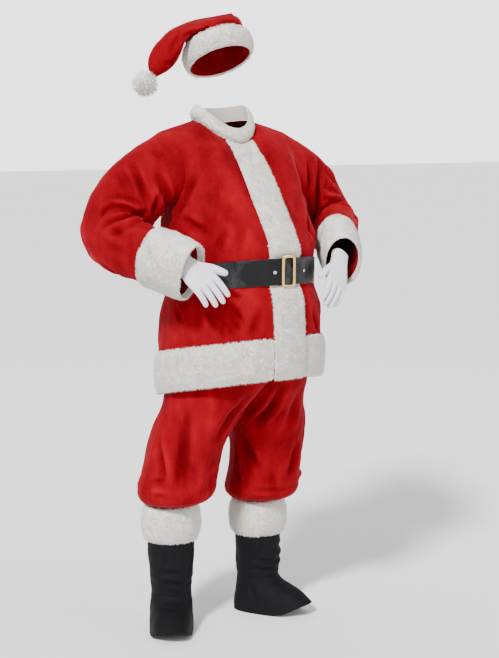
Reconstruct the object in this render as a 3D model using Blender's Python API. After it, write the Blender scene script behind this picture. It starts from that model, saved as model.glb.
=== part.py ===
"""Santa suit: jacket, belt, trousers, boot covers, hat and gloves, standing as they are worn.

Metres, +Z up. The front faces -Y and the wearer's left is +X. Heights are given above the floor,
and the whole suit hangs from an empty that puts the origin inside the jacket at shoulder level.
"""

import bmesh
import bpy
import math
from collections import namedtuple
from mathutils import Matrix, Vector

# Driving dimensions
ORIGIN_HEIGHT = 1.400        # shoulder level inside the jacket, above the floor
SEAM_GAP = 0.0003            # between pieces that are sewn or lie together
PLUSH = 0.0020               # red cloth wall
BOOT_CLOTH = 0.0016
KNIT = 0.0014
PILE = 0.0110                # how far the fur of the trims stands out
TRIM_WIDTH = 0.100           # front trim, across
TRIM_TOP = 0.985             # share of the panel's length that the front trim covers
HEM_TRIM_HEIGHT = 0.118
CUFF_SHARE = 0.190           # part of the sleeve's length that the fur cuff covers
BELT_WIDTH = 0.076
BELT_HEIGHT = 1.078          # belt's middle at the side
BELT_GIRTH = 1.37
STRAP = 0.0028
TONGUE_END = 0.135           # the tongue's rounded end, from the buckle's middle
TONGUE_LENGTH = 0.123
SNAP_SHARE = 0.756           # the snap's place along the tongue
BUCKLE_SIZE = (0.046, 0.096) # across, high
BUCKLE_BAR = 0.0095
BUCKLE_DEPTH = 0.0045
RIVET_FROM_BUCKLE = 0.064
HAT_BAND_HEIGHT = 0.064
HAT_BAND_PILE = 0.015
POMPOM_RADIUS = 0.027
POMPOM_LOCK = 0.011

# Jacket sections by height: half width, the front's and back's Y, and how much the section
# rides up over the belly at the centre front.
TorsoRow = namedtuple("TorsoRow", "height half_width front back rise")
TORSO_ROWS = [
    TorsoRow(0.755, 0.230, -0.352, 0.170, 0.055),
    TorsoRow(0.814, 0.233, -0.356, 0.172, 0.054),
    TorsoRow(0.873, 0.232, -0.356, 0.170, 0.052),
    TorsoRow(0.940, 0.229, -0.352, 0.164, 0.045),
    TorsoRow(1.000, 0.224, -0.345, 0.156, 0.036),
    TorsoRow(1.036, 0.2100, -0.3290, 0.1430, 0.032),
    TorsoRow(1.078, 0.2095, -0.3285, 0.1428, 0.032),
    TorsoRow(1.120, 0.2100, -0.3290, 0.1430, 0.032),
    TorsoRow(1.150, 0.219, -0.326, 0.150, 0.029),
    TorsoRow(1.175, 0.222, -0.315, 0.153, 0.024),
    TorsoRow(1.225, 0.220, -0.290, 0.152, 0.012),
    TorsoRow(1.300, 0.212, -0.242, 0.145, 0.000),
]
TORSO_CENTRE = -0.085        # Y of the widest point of each section
CHEST_SHARE = 0.64           # part of a panel's rows that lie below the armhole

# Neckline and shoulder seam
NECK_FRONT = Vector((0.0, -0.098, 1.462))
NECK_BACK = Vector((0.0, 0.078, 1.522))
NECK_SIDE = Vector((0.090, 0.004, 1.532))
SHOULDER_TIP = Vector((0.204, 0.004, 1.500))
NECK_SHARE = 0.46            # part of the panel's top edge that is neckline

# Sleeve sections, seen on the wearer's left: centre, half height and half breadth
ArmRow = namedtuple("ArmRow", "share x y z tall wide")
LEFT_ARM = [
    ArmRow(0.00, 0.204, -0.006, 1.402, 0.100, 0.098),
    ArmRow(0.12, 0.248, -0.004, 1.372, 0.104, 0.099),
    ArmRow(0.25, 0.296, 0.004, 1.326, 0.104, 0.097),
    ArmRow(0.38, 0.344, 0.010, 1.272, 0.100, 0.092),
    ArmRow(0.50, 0.380, 0.004, 1.222, 0.096, 0.088),
    ArmRow(0.60, 0.382, -0.038, 1.200, 0.091, 0.082),
    ArmRow(0.70, 0.350, -0.096, 1.190, 0.085, 0.070),
    ArmRow(0.80, 0.309, -0.156, 1.174, 0.080, 0.058),
    ArmRow(0.90, 0.270, -0.220, 1.151, 0.076, 0.051),
    ArmRow(1.00, 0.233, -0.286, 1.122, 0.077, 0.050),
]
RIGHT_ARM = [
    ArmRow(0.00, 0.204, -0.006, 1.402, 0.100, 0.098),
    ArmRow(0.12, 0.248, -0.004, 1.372, 0.104, 0.099),
    ArmRow(0.25, 0.296, 0.004, 1.326, 0.104, 0.097),
    ArmRow(0.38, 0.338, 0.012, 1.272, 0.100, 0.092),
    ArmRow(0.50, 0.368, 0.008, 1.222, 0.096, 0.088),
    ArmRow(0.60, 0.374, -0.030, 1.194, 0.091, 0.084),
    ArmRow(0.70, 0.361, -0.088, 1.176, 0.085, 0.076),
    ArmRow(0.80, 0.337, -0.146, 1.158, 0.081, 0.063),
    ArmRow(0.90, 0.309, -0.208, 1.140, 0.077, 0.053),
    ArmRow(1.00, 0.279, -0.276, 1.118, 0.077, 0.051),
]
ARM_LOOK = 0.16              # how far ahead and back the sleeve's direction is taken
SLEEVE_LENGTH = 0.64
SLEEVE_GIRTH = 0.58
RING_SHARE = 0.30            # part of the sleeve over which the armhole's shape becomes a tube

# Trouser leg sections by height: the leg's middle, its half width, its middle's Y, and how far
# the front and the back stand from that middle. Where the half width passes the middle's X the
# section is cut off at the centre seam, which makes the rise and the crotch.
LegRow = namedtuple("LegRow", "height middle half_width centre front back")
RIGHT_LEG = [
    LegRow(0.335, 0.1590, 0.0692, 0.044, 0.0692, 0.0692),
    LegRow(0.409, 0.1590, 0.0692, 0.044, 0.0692, 0.0692),
    LegRow(0.416, 0.1575, 0.0920, 0.038, 0.0960, 0.0880),
    LegRow(0.432, 0.1560, 0.1130, 0.028, 0.1200, 0.1080),
    LegRow(0.462, 0.1540, 0.1220, 0.018, 0.1280, 0.1160),
    LegRow(0.510, 0.1520, 0.1150, 0.002, 0.1220, 0.1160),
    LegRow(0.570, 0.1480, 0.1140, -0.018, 0.1230, 0.1190),
    LegRow(0.620, 0.1370, 0.1175, -0.034, 0.1290, 0.1260),
    LegRow(0.646, 0.1240, 0.1238, -0.042, 0.1340, 0.1300),
    LegRow(0.700, 0.1020, 0.1170, -0.054, 0.1560, 0.1360),
    LegRow(0.770, 0.0740, 0.1360, -0.066, 0.1960, 0.1640),
    LegRow(0.860, 0.0320, 0.1750, -0.076, 0.2340, 0.2000),
    LegRow(0.960, 0.0040, 0.2020, -0.082, 0.2400, 0.2120),
    LegRow(1.035, 0.0010, 0.2050, -0.085, 0.2384, 0.2222),
]
LEFT_LEG = [
    LegRow(0.335, 0.1590, 0.0692, 0.044, 0.0692, 0.0692),
    LegRow(0.409, 0.1590, 0.0692, 0.044, 0.0692, 0.0692),
    LegRow(0.416, 0.1600, 0.0960, 0.038, 0.0980, 0.0920),
    LegRow(0.432, 0.1590, 0.1150, 0.030, 0.1190, 0.1110),
    LegRow(0.462, 0.1570, 0.1200, 0.020, 0.1240, 0.1150),
    LegRow(0.510, 0.1540, 0.1140, 0.002, 0.1180, 0.1120),
    LegRow(0.570, 0.1480, 0.1140, -0.018, 0.1210, 0.1160),
    LegRow(0.620, 0.1370, 0.1175, -0.034, 0.1280, 0.1240),
    LegRow(0.646, 0.1240, 0.1238, -0.042, 0.1340, 0.1300),
    LegRow(0.700, 0.1020, 0.1170, -0.054, 0.1560, 0.1360),
    LegRow(0.770, 0.0740, 0.1360, -0.066, 0.1960, 0.1640),
    LegRow(0.860, 0.0320, 0.1750, -0.076, 0.2340, 0.2000),
    LegRow(0.960, 0.0040, 0.2020, -0.082, 0.2400, 0.2120),
    LegRow(1.035, 0.0010, 0.2050, -0.085, 0.2384, 0.2222),
]

# Boot covers: shaft sections, then the foot's outline for a toe pointing at -Y
LEG_DROP = {"right": 0.022, "left": 0.048}      # how far the rows from knee to ankle hang lower
BOOT_X = 0.159
BOOT_Y = 0.044
TOE_OUT = {"right": 32.0, "left": 27.0}     # degrees
BootRow = namedtuple("BootRow", "height half_width half_length")
BOOT_ROWS = [
    BootRow(0.114, 0.0620, 0.0670),
    BootRow(0.180, 0.0675, 0.0710),
    BootRow(0.250, 0.0715, 0.0730),
    BootRow(0.320, 0.0725, 0.0725),
    BootRow(0.404, 0.0725, 0.0725),
]
FOOT_HEEL = 0.072
FOOT_TOE = 0.188
FOOT_HALF_WIDTH = 0.068
FOOT_BLUNTNESS = (0.68, 0.80)   # lower the squarer: across, along
TOE_ARCH = 0.040             # how high the front edge stands over the shoe
BOOT_CUFF_LOW = 0.300
BOOT_CUFF_HIGH = 0.407

# Hat: rings of the red cone from the band over the crown and down the right side. Each ring's
# inner end faces the fold and its outer end the outline; depth is half its size along Y, and
# pitch is how far its front is tipped up.
HatRow = namedtuple("HatRow", "share inner_x inner_z outer_x outer_z y deep pitch")
HAT_ROWS = [
    HatRow(0.00, -0.0860, 1.7040, 0.0860, 1.7040, 0.0100, 0.1060, 24.0),
    HatRow(0.08, -0.0860, 1.7300, 0.0860, 1.7300, 0.0220, 0.1060, 24.0),
    HatRow(0.17, -0.0850, 1.7625, 0.0850, 1.7625, 0.0365, 0.1045, 22.0),
    HatRow(0.25, -0.0780, 1.7760, 0.0740, 1.8120, 0.0400, 0.0960, 14.0),
    HatRow(0.32, -0.0700, 1.7790, 0.0480, 1.8420, 0.0450, 0.0820, 6.0),
    HatRow(0.40, -0.0760, 1.7790, -0.0200, 1.8340, 0.0490, 0.0660, 0.0),
    HatRow(0.48, -0.0930, 1.7740, -0.0880, 1.8130, 0.0510, 0.0540, 0.0),
    HatRow(0.56, -0.1080, 1.7560, -0.1350, 1.7940, 0.0520, 0.0480, 0.0),
    HatRow(0.64, -0.1120, 1.7300, -0.1660, 1.7710, 0.0520, 0.0440, 0.0),
    HatRow(0.73, -0.1260, 1.6960, -0.1950, 1.7430, 0.0520, 0.0400, 0.0),
    HatRow(0.82, -0.1500, 1.6720, -0.2125, 1.7150, 0.0520, 0.0340, 0.0),
    HatRow(0.92, -0.1740, 1.6620, -0.2180, 1.6900, 0.0520, 0.0240, 0.0),
    HatRow(1.00, -0.1930, 1.6530, -0.2140, 1.6670, 0.0520, 0.0120, 0.0),
]
HAT_BAND_ROW = 1             # the ring at the middle of the fur band
HAT_BAND_HALF = (0.0864, 0.1064)
HAT_COLUMNS = 24
POMPOM_CENTRE = Vector((-0.2292, 0.052, 1.6338))

# Folds on a surface's own two axes, which run from 0 to 1: where a fold starts and ends, how far
# its side lies from its line, and how high it stands (a valley is negative).
Fold = namedtuple("Fold", "u0 v0 u1 v1 reach height")
SLEEVE_FOLDS = {
    "right": [
        Fold(0.98, 0.47, 0.90, 0.62, 0.030, 0.008),
        Fold(1.08, 0.60, 0.90, 0.67, 0.026, 0.006),
        Fold(0.24, 0.50, 0.46, 0.55, 0.030, -0.010),
        Fold(0.06, 0.08, 0.10, 0.40, 0.030, 0.009),
        Fold(0.24, 0.06, 0.22, 0.36, 0.032, -0.012),
        Fold(0.38, 0.10, 0.34, 0.36, 0.028, 0.007),
        Fold(0.74, 0.10, 0.80, 0.36, 0.030, -0.009),
        Fold(1.14, 0.69, 0.98, 0.75, 0.024, 0.006),
    ],
    "left": [
        Fold(0.98, 0.46, 0.88, 0.61, 0.030, 0.008),
        Fold(1.06, 0.60, 0.90, 0.67, 0.026, 0.006),
        Fold(0.24, 0.50, 0.46, 0.55, 0.030, -0.010),
        Fold(0.08, 0.06, 0.06, 0.38, 0.030, 0.008),
        Fold(0.22, 0.08, 0.24, 0.36, 0.032, -0.011),
        Fold(0.36, 0.12, 0.32, 0.38, 0.028, 0.007),
        Fold(0.76, 0.08, 0.78, 0.36, 0.030, -0.009),
        Fold(1.12, 0.70, 0.98, 0.76, 0.024, 0.006),
    ],
}
JACKET_FOLDS = {
    "front": [
        Fold(0.50, 0.39, 0.56, 0.54, 0.030, 0.008),
        Fold(0.76, 0.39, 0.80, 0.56, 0.030, 0.010),
        Fold(0.63, 0.39, 0.66, 0.50, 0.026, -0.006),
        Fold(0.84, 0.62, 0.94, 0.82, 0.034, -0.009),
        Fold(0.56, 0.22, 0.52, 0.31, 0.030, 0.006),
        Fold(0.82, 0.16, 0.86, 0.31, 0.030, 0.009),
    ],
    "back": [
        Fold(0.18, 0.39, 0.14, 0.58, 0.036, 0.009),
        Fold(0.50, 0.39, 0.54, 0.56, 0.034, 0.009),
        Fold(0.34, 0.39, 0.34, 0.50, 0.030, -0.006),
        Fold(0.80, 0.39, 0.82, 0.60, 0.034, 0.008),
        Fold(0.84, 0.62, 0.93, 0.84, 0.034, -0.008),
        Fold(0.26, 0.14, 0.24, 0.31, 0.034, 0.008),
        Fold(0.64, 0.16, 0.62, 0.31, 0.034, 0.009),
    ],
}
QUARTER_GIRTH = 0.37         # of the jacket, front or back, from its centre to its side
PANEL_LENGTH = 0.80
LEG_FOLDS = {
    ("right", "front"): [
        Fold(0.08, 0.56, 0.28, 0.26, 0.030, -0.010),
        Fold(0.46, 0.56, 0.52, 0.24, 0.034, 0.008),
        Fold(0.62, 0.40, 0.86, 0.52, 0.028, -0.008),
        Fold(0.30, 0.28, 0.70, 0.24, 0.026, -0.008),
        Fold(0.52, 0.13, 0.54, 0.22, 0.026, 0.007),
    ],
    ("left", "front"): [
        Fold(0.84, 0.50, 0.70, 0.20, 0.030, 0.011),
        Fold(0.70, 0.42, 0.34, 0.54, 0.030, -0.010),
        Fold(0.36, 0.27, 0.62, 0.23, 0.026, -0.008),
        Fold(0.44, 0.13, 0.42, 0.22, 0.026, 0.007),
    ],
    ("right", "back"): [
        Fold(0.40, 0.50, 0.30, 0.26, 0.032, -0.009),
        Fold(0.64, 0.44, 0.86, 0.50, 0.028, 0.007),
        Fold(0.24, 0.27, 0.70, 0.26, 0.026, -0.009),
        Fold(0.50, 0.13, 0.52, 0.22, 0.026, 0.007),
    ],
    ("left", "back"): [
        Fold(0.46, 0.52, 0.40, 0.26, 0.032, -0.009),
        Fold(0.62, 0.44, 0.86, 0.48, 0.028, 0.007),
        Fold(0.26, 0.27, 0.72, 0.26, 0.026, -0.009),
        Fold(0.48, 0.13, 0.46, 0.22, 0.026, 0.007),
    ],
}
LEG_PANEL_WIDTH = 0.36
LEG_LENGTH = 0.70
HAT_FOLDS = [
    Fold(0.78, 0.16, 0.92, 0.44, 0.018, -0.008),
    Fold(0.62, 0.14, 0.74, 0.40, 0.016, 0.007),
    Fold(0.30, 0.30, 0.10, 0.48, 0.014, -0.006),
    Fold(0.66, 0.46, 0.84, 0.54, 0.010, -0.005),
]
HAT_GIRTH = 0.56
HAT_LENGTH = 0.40

# Hands: a finger's place across the palm, its breadth, its length and its three bends
Finger = namedtuple("Finger", "across breadth length bends")
FINGERS = [
    Finger(-0.0315, 0.0190, 0.060, (16, 22, 16)),
    Finger(-0.0108, 0.0205, 0.076, (10, 20, 14)),
    Finger(0.0108, 0.0205, 0.080, (7, 18, 12)),
    Finger(0.0318, 0.0200, 0.072, (4, 15, 10)),
]
Hand = namedtuple("Hand", "wrist along back bend")
HANDS = {
    "right": Hand(Vector((-0.288, -0.252, 1.140)), Vector((0.26, -0.78, -0.53)),
                  Vector((-0.45, -0.60, 0.66)), 26.0),
    "left": Hand(Vector((0.222, -0.284, 1.122)), Vector((-0.50, -0.52, -0.69)),
                 Vector((0.30, -0.86, 0.35)), 4.0),
}
PALM_LENGTH = 0.088
PALM_THICKNESS = 0.030
WRIST_HALF = (0.030, 0.022)

# Colours, roughness and metallic value of each material
Finish = namedtuple("Finish", "colour roughness metallic")
FINISHES = {
    "red_plush": Finish((0.52, 0.012, 0.020), 0.75, 0.0),
    "white_fur": Finish((0.76, 0.72, 0.68), 0.95, 0.0),
    "glossy_strap": Finish((0.025, 0.025, 0.028), 0.22, 0.0),
    "matt_strap": Finish((0.018, 0.018, 0.020), 0.60, 0.0),
    "gold_metal": Finish((0.83, 0.60, 0.24), 0.28, 1.0),
    "silver_metal": Finish((0.70, 0.70, 0.72), 0.25, 1.0),
    "boot_cloth": Finish((0.012, 0.012, 0.014), 0.60, 0.0),
    "white_knit": Finish((0.74, 0.72, 0.78), 0.90, 0.0),
}
SIDES = {"right": -1, "left": 1}
TINY = 1e-3                  # step for slopes on a surface's own axes
BAND_ROWS = [0, 0.14, 0.5, 0.86, 1]  # a fur band's rows, closer at its rounded edges


def smooth_row(rows, position):
    """The table's row at a position along its first column, with every column curved smoothly."""
    keys = [row[0] for row in rows]
    position = min(max(position, keys[0]), keys[-1])
    last = len(rows) - 2
    here = next((k for k in range(last + 1) if position <= keys[k + 1]), last)
    span = keys[here + 1] - keys[here]
    t = (position - keys[here]) / span
    values = [position]
    for column in range(1, len(rows[0])):
        start, end = rows[here][column], rows[here + 1][column]
        before = rows[max(here - 1, 0)]
        after = rows[min(here + 2, len(rows) - 1)]
        slope_in = (end - before[column]) / (keys[here + 1] - before[0]) * span
        slope_out = (after[column] - start) / (after[0] - keys[here]) * span
        values.append(
            start * (2 * t**3 - 3 * t**2 + 1) + slope_in * (t**3 - 2 * t**2 + t)
            + end * (3 * t**2 - 2 * t**3) + slope_out * (t**3 - t**2)
        )
    return type(rows[0])(*values)


def ease(t):
    """0 to 1 with flat ends."""
    t = min(max(t, 0.0), 1.0)
    return t * t * (3 - 2 * t)


def mix(a, b, t):
    return a + (b - a) * t


def bezier(a, b, c, d, t):
    s = 1 - t
    return a * s**3 + b * 3 * s * s * t + c * 3 * s * t * t + d * t**3


def step_around(t):
    """A small step to either side of t, which stays on the sheet if t is on it."""
    if 0 <= t <= 1:
        return max(t - TINY, 0.0), min(t + TINY, 1.0)
    return t - TINY, t + TINY


def lowered(height, label):
    """Where a height on one leg's rows ends up, lower between knee and ankle."""
    return height - LEG_DROP[label] * ease((height - 0.12) / 0.12) * ease((0.62 - height) / 0.15)


class Surface:
    """A sheet given by a function of two axes from 0 to 1, with an outward side."""

    def __init__(self, point, inside):
        self.point = point
        self.inside = inside
        self.sign = 1
        if self.normal(0.9, 0.5).dot(point(0.9, 0.5) - inside) < 0:
            self.sign = -1

    def normal(self, u, v):
        low_u, high_u = step_around(u)
        low_v, high_v = step_around(v)
        across = self.point(high_u, v) - self.point(low_u, v)
        along = self.point(u, high_v) - self.point(u, low_v)
        return across.cross(along).normalized() * self.sign

    def pushed(self, push):
        """The same sheet moved out by a distance, or by a function of the two axes."""
        amount = push if callable(push) else lambda u, v: push
        return Surface(lambda u, v: self.point(u, v) + self.normal(u, v) * amount(u, v), self.inside)


class Ring(Surface):
    """A sheet that closes on itself along its first axis."""

    def normal(self, u, v):
        low_v, high_v = step_around(v)
        across = self.point((u + TINY) % 1.0, v) - self.point((u - TINY) % 1.0, v)
        along = self.point(u, high_v) - self.point(u, low_v)
        return across.cross(along).normalized() * self.sign

    def pushed(self, push):
        amount = push if callable(push) else lambda u, v: push
        return Ring(lambda u, v: self.point(u, v) + self.normal(u, v) * amount(u, v), self.inside)


def fold_push(folds, breadth, length, wraps=False):
    """How far a set of folds lifts or sinks a surface at u, v."""
    def push(u, v):
        total = 0.0
        for fold in folds:
            start_u, end_u = fold.u0 * breadth, fold.u1 * breadth
            here_u = u * breadth
            if wraps:
                middle = (start_u + end_u) / 2
                here_u += round((middle - here_u) / breadth) * breadth
            line = Vector((end_u - start_u, (fold.v1 - fold.v0) * length))
            away = Vector((here_u - start_u, (v - fold.v0) * length))
            share = away.dot(line) / line.length_squared
            nearest = line * min(max(share, 0.0), 1.0)
            distance = (away - nearest).length
            fade = 0.35 + 0.65 * math.sin(math.pi * min(max(share, 0.0), 1.0))
            total += fold.height * fade * math.exp(-((distance / fold.reach) ** 2))
        return total
    return push


def steps(count, first=0.0, last=1.0):
    return [mix(first, last, k / count) for k in range(count + 1)]


def make_object(name, mesh, finish):
    """An object hung from the suit's empty, in its material."""
    mesh.shade_smooth()
    mesh.set_sharp_from_angle(angle=math.radians(50))
    mesh.materials.append(materials[finish])
    item = bpy.data.objects.new(name, mesh)
    bpy.context.scene.collection.objects.link(item)
    item.parent = suit
    return item


def make_slab(name, inner, outer, us, vs, finish, wraps=False):
    """One closed body between two sheets, with its edges closed."""
    work = bmesh.new()
    outside = [[work.verts.new(outer.point(u, v)) for u in us] for v in vs]
    inside = [[work.verts.new(inner.point(u, v)) for u in us] for v in vs]
    count = len(us)
    across = range(count if wraps else count - 1)
    for i in range(len(vs) - 1):
        for j in across:
            k = (j + 1) % count
            work.faces.new((outside[i][j], outside[i][k], outside[i + 1][k], outside[i + 1][j]))
            work.faces.new((inside[i][j], inside[i + 1][j], inside[i + 1][k], inside[i][k]))
    for j in across:
        k = (j + 1) % count
        work.faces.new((outside[0][j], inside[0][j], inside[0][k], outside[0][k]))
        work.faces.new((outside[-1][j], outside[-1][k], inside[-1][k], inside[-1][j]))
    if not wraps:
        for i in range(len(vs) - 1):
            work.faces.new((outside[i][0], outside[i + 1][0], inside[i + 1][0], inside[i][0]))
            work.faces.new((outside[i][-1], inside[i][-1], inside[i + 1][-1], outside[i + 1][-1]))
    if outer.sign < 0:
        bmesh.ops.reverse_faces(work, faces=work.faces)
    mesh = bpy.data.meshes.new(name)
    work.to_mesh(mesh)
    work.free()
    return make_object(name, mesh, finish)


def make_wall(name, surface, us, vs, thickness, finish, wraps=False):
    """A cloth wall whose outer face is the surface."""
    return make_slab(name, surface.pushed(-thickness), surface, us, vs, finish, wraps)


def rounded_pile(depth, edge_u=0.0, edge_v=0.06, low=0.4):
    """A pile that thins towards the edges of its band."""
    def push(u, v):
        near_u = min(u, 1 - u) / edge_u if edge_u else 1.0
        near_v = min(v, 1 - v) / edge_v if edge_v else 1.0
        return depth * mix(low, 1.0, math.sin(min(near_u, near_v, 1.0) * math.pi / 2))
    return push


# Jacket

def torso_point(angle, height):
    """A point of the jacket below the armholes: 0 degrees is the front, positive is the left."""
    row = smooth_row(TORSO_ROWS, height)
    turn = math.radians(angle)
    reach = row.front if math.cos(turn) > 0 else row.back
    y = TORSO_CENTRE + (reach - TORSO_CENTRE) * abs(math.cos(turn))
    return Vector((row.half_width * math.sin(turn), y, row.height + row.rise * math.cos(turn)))


def top_edge(face, u):
    """The neckline, then the shoulder seam, for the left side."""
    if u < NECK_SHARE:
        turn = u / NECK_SHARE * math.pi / 2
        middle = NECK_FRONT if face == "front" else NECK_BACK
        return Vector((
            NECK_SIDE.x * math.sin(turn),
            NECK_SIDE.y + (middle.y - NECK_SIDE.y) * math.cos(turn),
            NECK_SIDE.z + (middle.z - NECK_SIDE.z) * math.cos(turn) ** 1.4,
        ))
    return NECK_SIDE.lerp(SHOULDER_TIP, (u - NECK_SHARE) / (1 - NECK_SHARE))


def jacket_point(side, face, u, v):
    """A panel's point: u from the centre to the side, v from the hem to the neck and shoulder."""
    low, chest = TORSO_ROWS[0].height, TORSO_ROWS[-1].height
    angle = 90 * u if face == "front" else 180 - 90 * u
    if v <= CHEST_SHARE:
        point = torso_point(angle, mix(low, chest, v / CHEST_SHARE))
    else:
        way = -1 if face == "front" else 1
        start = torso_point(angle, chest)
        end = top_edge(face, u) + Vector((0, way * SEAM_GAP / 2 * ease((u - 0.3) / 0.2), 0))
        rise_out = Vector((0, 0.055 if face == "front" else 0.0, 0.075))
        start_pull = mix(rise_out, Vector((-0.030, way * 0.062, 0.055)), ease(u))
        neck_pull = Vector((0, way * 0.045, -0.055))
        seam_pull = Vector((0, way * 0.095, 0))
        end_pull = mix(neck_pull, seam_pull, ease(u / NECK_SHARE))
        t = (v - CHEST_SHARE) / (1 - CHEST_SHARE)
        point = bezier(start, start + start_pull, end + end_pull, end, t)
    return Vector((side * point.x, point.y, point.z))


def jacket_panel(side, face):
    """A panel's outer face with its folds, which die out under the belt and at the seams."""
    base = Surface(lambda u, v: jacket_point(side, face, u, v), Vector((0, TORSO_CENTRE, 1.1)))
    folds = fold_push(JACKET_FOLDS[face], QUARTER_GIRTH, PANEL_LENGTH)
    belt_share = (BELT_HEIGHT - TORSO_ROWS[0].height) / (TORSO_ROWS[-1].height - TORSO_ROWS[0].height)
    belt_v = belt_share * CHEST_SHARE

    def push(u, v):
        clear_of_belt = ease((abs(v - belt_v) - 0.045) / 0.05)
        clear_of_seams = ease((1 - u) / 0.08) * ease((u - 0.2) / 0.15 if face == "front" else u / 0.1)
        clear_of_ends = ease((0.97 - v) / 0.08) * ease((v - 0.15) / 0.06)
        return folds(u, v) * clear_of_belt * clear_of_seams * clear_of_ends
    return base.pushed(push)


def panel_rows():
    """Rows of a panel: closer at the belt and at the shoulder."""
    low, chest = TORSO_ROWS[0].height, TORSO_ROWS[-1].height
    heights = [row.height for row in TORSO_ROWS]
    extra = [1.194, 1.262]
    lower = sorted((h - low) / (chest - low) * CHEST_SHARE for h in heights + extra)
    return lower + steps(7, CHEST_SHARE, 1.0)[1:]


def front_columns():
    seam = SEAM_GAP / 2 / QUARTER_GIRTH
    return steps(8, seam, 1 - seam)


def u_at(surface, v, distance):
    """How far along u a distance from the centre front lies."""
    start = surface.point(0.0, v)
    low, high = 0.0, 0.9
    for _ in range(24):
        middle = (low + high) / 2
        if (surface.point(middle, v) - start).length < distance:
            low = middle
        else:
            high = middle
    return low


def make_jacket_panels():
    rows = panel_rows()
    seam = SEAM_GAP / 2 / QUARTER_GIRTH
    for label, side in SIDES.items():
        panel = jacket_panel(side, "front")
        make_wall(f"jacket_front_{label}", panel, front_columns(), rows, PLUSH, "red_plush")
    back = full_back()
    make_wall("jacket_back", back, steps(14, seam / 2, 1 - seam / 2), rows, PLUSH, "red_plush")


def full_back():
    """The back as one panel: u from the right side seam to the left."""
    halves = {side: jacket_panel(side, "back") for side in (-1, 1)}

    def point(u, v):
        across = 2 * u - 1
        return halves[-1 if across < 0 else 1].point(abs(across), v)
    return Surface(point, Vector((0, TORSO_CENTRE, 1.1)))


def hem_v(height):
    """The panel axis of a height above the lowest hem point."""
    low, chest = TORSO_ROWS[0].height, TORSO_ROWS[-1].height
    return (height - low) / (chest - low) * CHEST_SHARE


def make_hem_trims():
    """The fur round the hem, in three lengths that meet at the side seams and the front trim."""
    top = hem_v(TORSO_ROWS[0].height + HEM_TRIM_HEIGHT)
    seam = SEAM_GAP / 2 / QUARTER_GIRTH
    for label, side in SIDES.items():
        panel = jacket_panel(side, "front")

        def band_point(u, v, panel=panel):
            level = mix(0.0, top, v)
            first = u_at(panel, level, TRIM_WIDTH / 2) + 4 * seam
            return panel.point(max(u, first), level)
        span = Surface(band_point, panel.inside)
        pile = rounded_pile(PILE, edge_v=0.16)
        make_slab(f"hem_trim_front_{label}", span.pushed(SEAM_GAP),
                  span.pushed(lambda u, v: SEAM_GAP + pile(u, v)),
                  front_columns()[1:], BAND_ROWS, "white_fur")
    back = full_back()
    span = Surface(lambda u, v: back.point(mix(seam / 2, 1 - seam / 2, u), mix(0.0, top, v)), back.inside)
    pile = rounded_pile(PILE, edge_v=0.16)
    make_slab("hem_trim_back", span.pushed(SEAM_GAP), span.pushed(lambda u, v: SEAM_GAP + pile(u, v)),
              steps(14), BAND_ROWS, "white_fur")


def front_trim_base():
    """The strip over the opening: u across from right to left, v from the hem to the neckline."""
    panels = {side: jacket_panel(side, "front") for side in (-1, 1)}
    spans = {}

    def point(u, v):
        across = 2 * u - 1
        side = -1 if across < 0 else 1
        level = mix(0.0, TRIM_TOP, v)
        key = round(level, 6)
        if key not in spans:
            spans[key] = u_at(panels[1], level, TRIM_WIDTH / 2)
        return panels[side].point(abs(across) * spans[key], level)
    return Surface(point, Vector((0, TORSO_CENTRE, 1.1)))


def belt_band():
    """The belt's middle and half width on the front trim's long axis."""
    half = hem_v(TORSO_ROWS[0].height + BELT_WIDTH / 2) / TRIM_TOP
    return hem_v(BELT_HEIGHT) / TRIM_TOP, half


def belt_press(v):
    """1 where the belt presses the front trim flat."""
    belt_v, half = belt_band()
    return 1 - ease((abs(v - belt_v) - half - 0.006) / 0.018)


def make_front_trim():
    base = front_trim_base()
    pile = rounded_pile(PILE, edge_u=0.2, edge_v=0.03)

    def clearance(u, v):
        return mix(2.5, 6.0, ease((v - 0.6) / 0.3)) * SEAM_GAP

    def depth(u, v):
        return clearance(u, v) + pile(u, v) * mix(1.0, 0.40, belt_press(v))
    belt_v, half = belt_band()
    at_belt = [belt_v + way * (half + reach) for way in (-1, 1) for reach in (0.005, 0.024)]
    shared = [v / TRIM_TOP for v in panel_rows() if v < TRIM_TOP - 0.03]
    rows = sorted(shared + at_belt + [0.012, 0.985, 1.0])
    make_slab("front_trim", base.pushed(clearance), base.pushed(depth),
              [0, 0.12, 0.5, 0.88, 1], rows, "white_fur")


def neckline_point(turn):
    """The neckline all round: 0 is the front, a quarter the left side, a half the back."""
    u = turn % 1.0
    side = 1 if u <= 0.5 else -1
    share = u if u <= 0.5 else 1 - u
    face = "front" if share <= 0.25 else "back"
    along = share / 0.25 if face == "front" else (0.5 - share) / 0.25
    point = top_edge(face, along * NECK_SHARE * 0.9999)
    return Vector((side * point.x, point.y, point.z))


def make_collar():
    """A plain narrow fur band standing on the neckline."""
    middle = Vector((0, -0.010, 1.52))

    def base_point(u, v):
        start = neckline_point(u)
        away = Vector((start.x, start.y - middle.y, 0)).normalized()
        return start + away * (0.001 - 0.012 * v) + Vector((0, 0, 0.0016 + 0.042 * v))
    base = Ring(base_point, middle)
    pile = rounded_pile(PILE, edge_v=0.35, low=0.1)
    make_slab("collar", base.pushed(-0.002), base.pushed(pile), steps(20)[:-1],
              [0, 0.2, 0.6, 1], "white_fur", wraps=True)


# Sleeves and cuffs

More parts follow.
